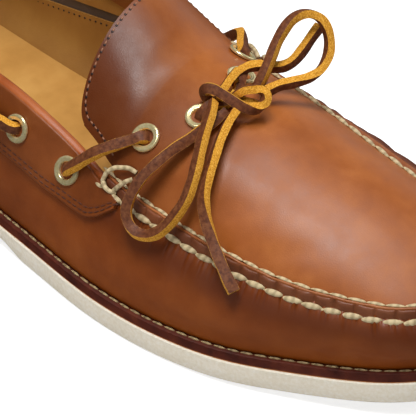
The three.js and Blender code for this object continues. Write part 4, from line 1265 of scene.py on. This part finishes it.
lining_stations = np.linspace(0, ROUND, 300)[:-1]
L, LU = np.meshgrid(lining_stations, np.linspace(0.0, 1, 22), indexing="ij")
fore_side = ease(L, OUTER_SEAM - 0.6, OUTER_SEAM + 0.4) * (1 - ease(L, INNER_SEAM - 0.4, INNER_SEAM + 0.6))
lining_top = lining_edge(L, fore_side)
lining_foot = 7 * np.exp(-(LU * lining_top / 0.13) ** 1.7)
# The wall lining takes the lining leather's darker colours, which are painted shade.
wall_lining = shell("wall_lining", wall_offset(L, LU * lining_top, -WALL),
                    wall_offset(L, LU * lining_top, -WALL - 0.7 - lining_foot),
                    shaded_lining_leather, ring=True, sharp=60)
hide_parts("upper")
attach(wall_lining, "root")
hole_stations = np.linspace(26, ROUND + OUTER_SEAM - 1, 600) % ROUND
hole_ups = lining_edge(hole_stations) - 0.03
lining_hole = stitch_shape("lining_hole", 0.9, 0.7, 0.4, 1.0, hole_shadow)
sew("lining_edge_holes", wall_offset(hole_stations, hole_ups, -WALL - 0.8),
    -wall_normal(hole_stations, hole_ups), lining_hole, FINE_PITCH, hole_shadow)


def inside_band(name, low, high, outer, inner, material):
    """A strip inside the collar, between two depths inside the wall. It runs from low, which is
    worked out from the lining's top edge, up to high, a share of the wall."""
    stations = np.linspace(INNER_SEAM - ROUND - 0.3, OUTER_SEAM + 0.3, 300)
    bottom = low(lining_edge(stations))
    place, up = np.meshgrid(stations, np.linspace(0, 1, 9), indexing="ij")
    up = bottom[:, None] + (high - bottom)[:, None] * up
    made = shell(name, wall_offset(place, up, outer), wall_offset(place, up, inner), material, sharp=60)
    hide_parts("upper")
    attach(made, "root")


grey_suede = sock_leather("grey_brown_suede_strip", "#5E5048", "#4B3F39", "#3A302B")
inside_band("grey_suede_strip", lambda edge: edge - 0.06, 0.97, -VAMP_SHEET - 0.05, -WALL - 0.05, grey_suede)
inside_band("collar_facing", lambda edge: np.minimum(edge + 0.07, 0.86), 0.95, -WALL, -WALL - 0.5,
            shaded_lining_leather)
inside_band("collar_turn_in", lambda edge: np.where(edge < 0.69, 0.62, 0.86), 0.97, -WALL, -WALL - 1.1,
            shaded_quarter_leather)


# Eyelets. Rolled brass rings, plated pale gold, 9.5 mm across with a 5.4 mm hole, clenched through
# the leather, with plain faces.
def gold_plate():
    """Plated brass: pale gold mirror, slightly blurred, with hairline rubs."""
    material, shader = new_material("polished_pale_gold_plate")
    place = add_node(material, "ShaderNodeTexCoord").outputs["Object"]
    rubs = noise(material, place, 0.9, 3, 0.6)
    rough = add_node(material, "ShaderNodeMapRange", Value=rubs, To_Min=0.16, To_Max=0.3)
    material.node_tree.links.new(rough.outputs[0], shader.inputs["Roughness"])
    material.node_tree.links.new(ramp(material, rubs, (0.3, "#ECD898"), (0.7, "#FFF0C0")),
                                 shader.inputs["Base Color"])
    material.node_tree.links.new(bump(material, rubs, 0.05, 0.3), shader.inputs["Normal"])
    shader.inputs["Metallic"].default_value = 0.7
    return material


EYELET_SEAT = 0.5
EYELET_PROFILE = [
    (2.7, -2.4), (3.0, -2.4), (3.05, -0.5), (4.1, -0.5), (4.55, -0.35), (4.78, 0.0), (4.72, 0.42),
    (4.4, 0.72), (3.95, 0.78), (3.6, 0.62), (3.3, 0.68), (3.0, 0.6), (2.78, 0.3), (2.7, -0.2),
]
OUTER_EYELETS = [
    ("a", 7.96, 0.73), ("b", 6.66, 0.71), ("c", 5.38, 0.69), ("d", 4.78, 0.69), ("e", 3.60, 0.66),
]
INNER_EYELETS = [
    ("a", 26.05, 0.70), ("b", 27.25, 0.63), ("c", 28.35, 0.62), ("d", 28.90, 0.62), ("e", 30.05, 0.62),
]
TONGUE_EYELETS = [
    ("outer", 0.96, -0.67), ("mid_outer", 0.88, -0.28), ("mid_inner", 0.89, 0.35), ("inner", 0.96, 0.70),
]
gold = gold_plate()
seats = {}
for side, rows in (("outer", OUTER_EYELETS), ("inner", INNER_EYELETS)):
    for name, station, up in rows:
        base, normal = wall_point(station, up), wall_normal(station, up)
        seats[f"{side}_{name}"] = (base + normal * (GAP + OVERLAY + EYELET_SEAT), normal)
for name, row, across in TONGUE_EYELETS:
    base, normal = sheet_point(row, across), sheet_normal(row, across)
    seats[f"tongue_{name}"] = (base + normal * EYELET_SEAT, normal)


def ring_at(seat, profile, sides=64):
    """A turned ring of radius and height pairs, on a seat."""
    base, normal = seat
    first = unit(np.cross(normal, [1.0, 0.2, 0.0]))
    second = np.cross(normal, first)
    angles = np.linspace(0, 2 * math.pi, sides, endpoint=False)
    spokes = np.cos(angles)[:, None] * first + np.sin(angles)[:, None] * second
    profile = np.array(profile)
    return base + spokes[:, None] * profile[None, :, :1] + normal * profile[None, :, 1:]


for name, seat in seats.items():
    rings = ring_at(seat, EYELET_PROFILE)
    faces = grid_faces(*rings.shape[:2], ring_rows=True, ring_columns=True)
    eyelet = piece(f"eyelet_ring_{name}", rings, faces, gold, sharp=60)
    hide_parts(f"eyelet_{name}")
    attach(eyelet, "root")


# Lace bars. The lace comes up out of one eyelet, lies over the leather and goes down into the next.
BAR_DIP = 4.5
BAR_TURN = 1.2
BAR_OUT = 0.9
BAR_LAND = 4.2
BAR_CLEAR = 0.9


def lace_bar(name, start, end, arch, leans, seen=False):
    """A bar between two eyelets, which bends down into both. leans turn it from end to end, off
    the leather's own facing, or off the line of sight where it is seen."""
    (a, up_a), (b, up_b) = seats[start], seats[end]
    along = unit(b - a)
    lift = BAR_CLEAR + LACE_THICK / 2
    middle = (a + b) / 2 + unit(up_a + up_b) * (lift + arch)
    route = [
        a - up_a * BAR_DIP,
        a - up_a * BAR_TURN,
        a + up_a * BAR_TURN + along * BAR_OUT,
        a + up_a * lift + along * BAR_LAND,
        middle,
        b + up_b * lift - along * BAR_LAND,
        b + up_b * BAR_TURN - along * BAR_OUT,
        b - up_b * BAR_TURN,
        b - up_b * BAR_DIP,
    ]
    free = [SIGHT, SIGHT, SIGHT] if seen else [up_a, up_a + up_b, up_b]
    hints = [-along, -along, unit(up_a - along), *free, unit(up_b + along), along, along]
    turns = np.interp(np.arange(9), [0, 1, 3, 5, 7, 8], [0, 0, leans[0], leans[1], 0, 0])
    rows = [[*point, turn, LACE_WIDTH - 0.2] for point, turn in zip(route, turns)]
    made, _ = lace_strand(name + "_thong", rows, np.array([unit(h) for h in hints]))
    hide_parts(name)


lace_bar("lace_front_outer", "outer_a", "tongue_outer", 2.5, (-50, -5), seen=True)
lace_bar("lace_front_inner", "inner_a", "tongue_inner", 4.2, (-30, -30))
lace_bar("lace_side_outer_front", "outer_b", "outer_c", 0.6, (-40, -40), seen=True)
lace_bar("lace_side_outer_back", "outer_d", "outer_e", 0.6, (-40, -40), seen=True)
lace_bar("lace_side_inner_front", "inner_b", "inner_c", 0.6, (25, 25))
lace_bar("lace_side_inner_back", "inner_d", "inner_e", 0.6, (25, 25))
# Two strands rise from the middle eyelets into the knot
for name, seat_name, turn in (("outer", "tongue_mid_outer", 20), ("inner", "tongue_mid_inner", -20)):
    base, up = seats[seat_name]
    towards = unit(KNOT_CENTRE - base)
    rise = [
        base - up * BAR_DIP,
        base - up,
        base + up * 1.4 + towards * 1.0,
        base + up * 2.2 + towards * 4.5,
        KNOT_CENTRE - towards * 2.5 - UP * 1.2,
    ]
    hints = [-towards, -towards, unit(up - towards), up, up]
    lace_strand(f"lace_rise_{name}_thong", [[*p, turn, 3.2] for p in rise], np.array(hints))


# Floor and light. Soft boxes overhead and behind, two fills that don't show in the gloss, and a
# pale floor that glows to the camera only, so that it reads white and doesn't light the shoe.
floor_mesh = bpy.data.meshes.new("floor")
floor_mesh.from_pydata([(-3, -3, 0), (3, -3, 0), (3, 3, 0), (-3, 3, 0)], [], [(0, 1, 2, 3)])
floor_paint, floor_shader = new_material("matt_white_floor")
floor_seen = add_node(floor_paint, "ShaderNodeLightPath").outputs["Is Camera Ray"]
floor_shader.inputs["Base Color"].default_value = colour("#C6C6C6")
floor_glow = math_node(floor_paint, "MULTIPLY", floor_seen, 0.72)
floor_paint.node_tree.links.new(floor_glow, floor_shader.inputs["Emission Strength"])
floor_shader.inputs["Emission Color"].default_value = (1, 1, 1, 1)
floor_shader.inputs["Roughness"].default_value = 0.9
floor_mesh.materials.append(floor_paint)
floor = add_object("floor", floor_mesh)
floor.visible_glossy = False


def softbox(name, place, aim, wide, high, power):
    """A rectangular soft light, in metres and watts."""
    data = bpy.data.lights.new(name, "AREA")
    data.shape = "RECTANGLE"
    data.size = wide
    data.size_y = high
    data.energy = power
    lamp = add_object(name, data)
    lamp.location = place
    lamp.rotation_euler = (Vector(aim) - Vector(place)).to_track_quat("-Z", "Y").to_euler()
    return lamp


softbox("overhead_box", (0.1, -0.24, 1.28), (0.02, 0, 0.04), 0.45, 0.45, 10)
softbox("tongue_box", (0.06, 0.3, 1.28), (0.02, 0, 0.04), 0.34, 0.34, 5)
softbox("back_wall", (0.1, 1.6, 0.5), (0.03, 0, 0.05), 2.2, 1.0, 5)
for fill in (softbox("broad_fill", (0.1, 0.25, 1.5), (0.02, 0, 0.04), 1.5, 1.6, 6.5),
             softbox("front_fill", (0.25, -1.1, 0.5), (0.02, 0, 0.02), 1.4, 0.6, 4.5)):
    fill.visible_glossy = False
world = bpy.data.worlds.new("studio")
world.use_nodes = True
world.node_tree.nodes["Background"].inputs[0].default_value = (1.0, 0.99, 0.98, 1)
world.node_tree.nodes["Background"].inputs[1].default_value = 0.05
bpy.context.scene.world = world
bpy.context.scene.view_settings.view_transform = "Standard"
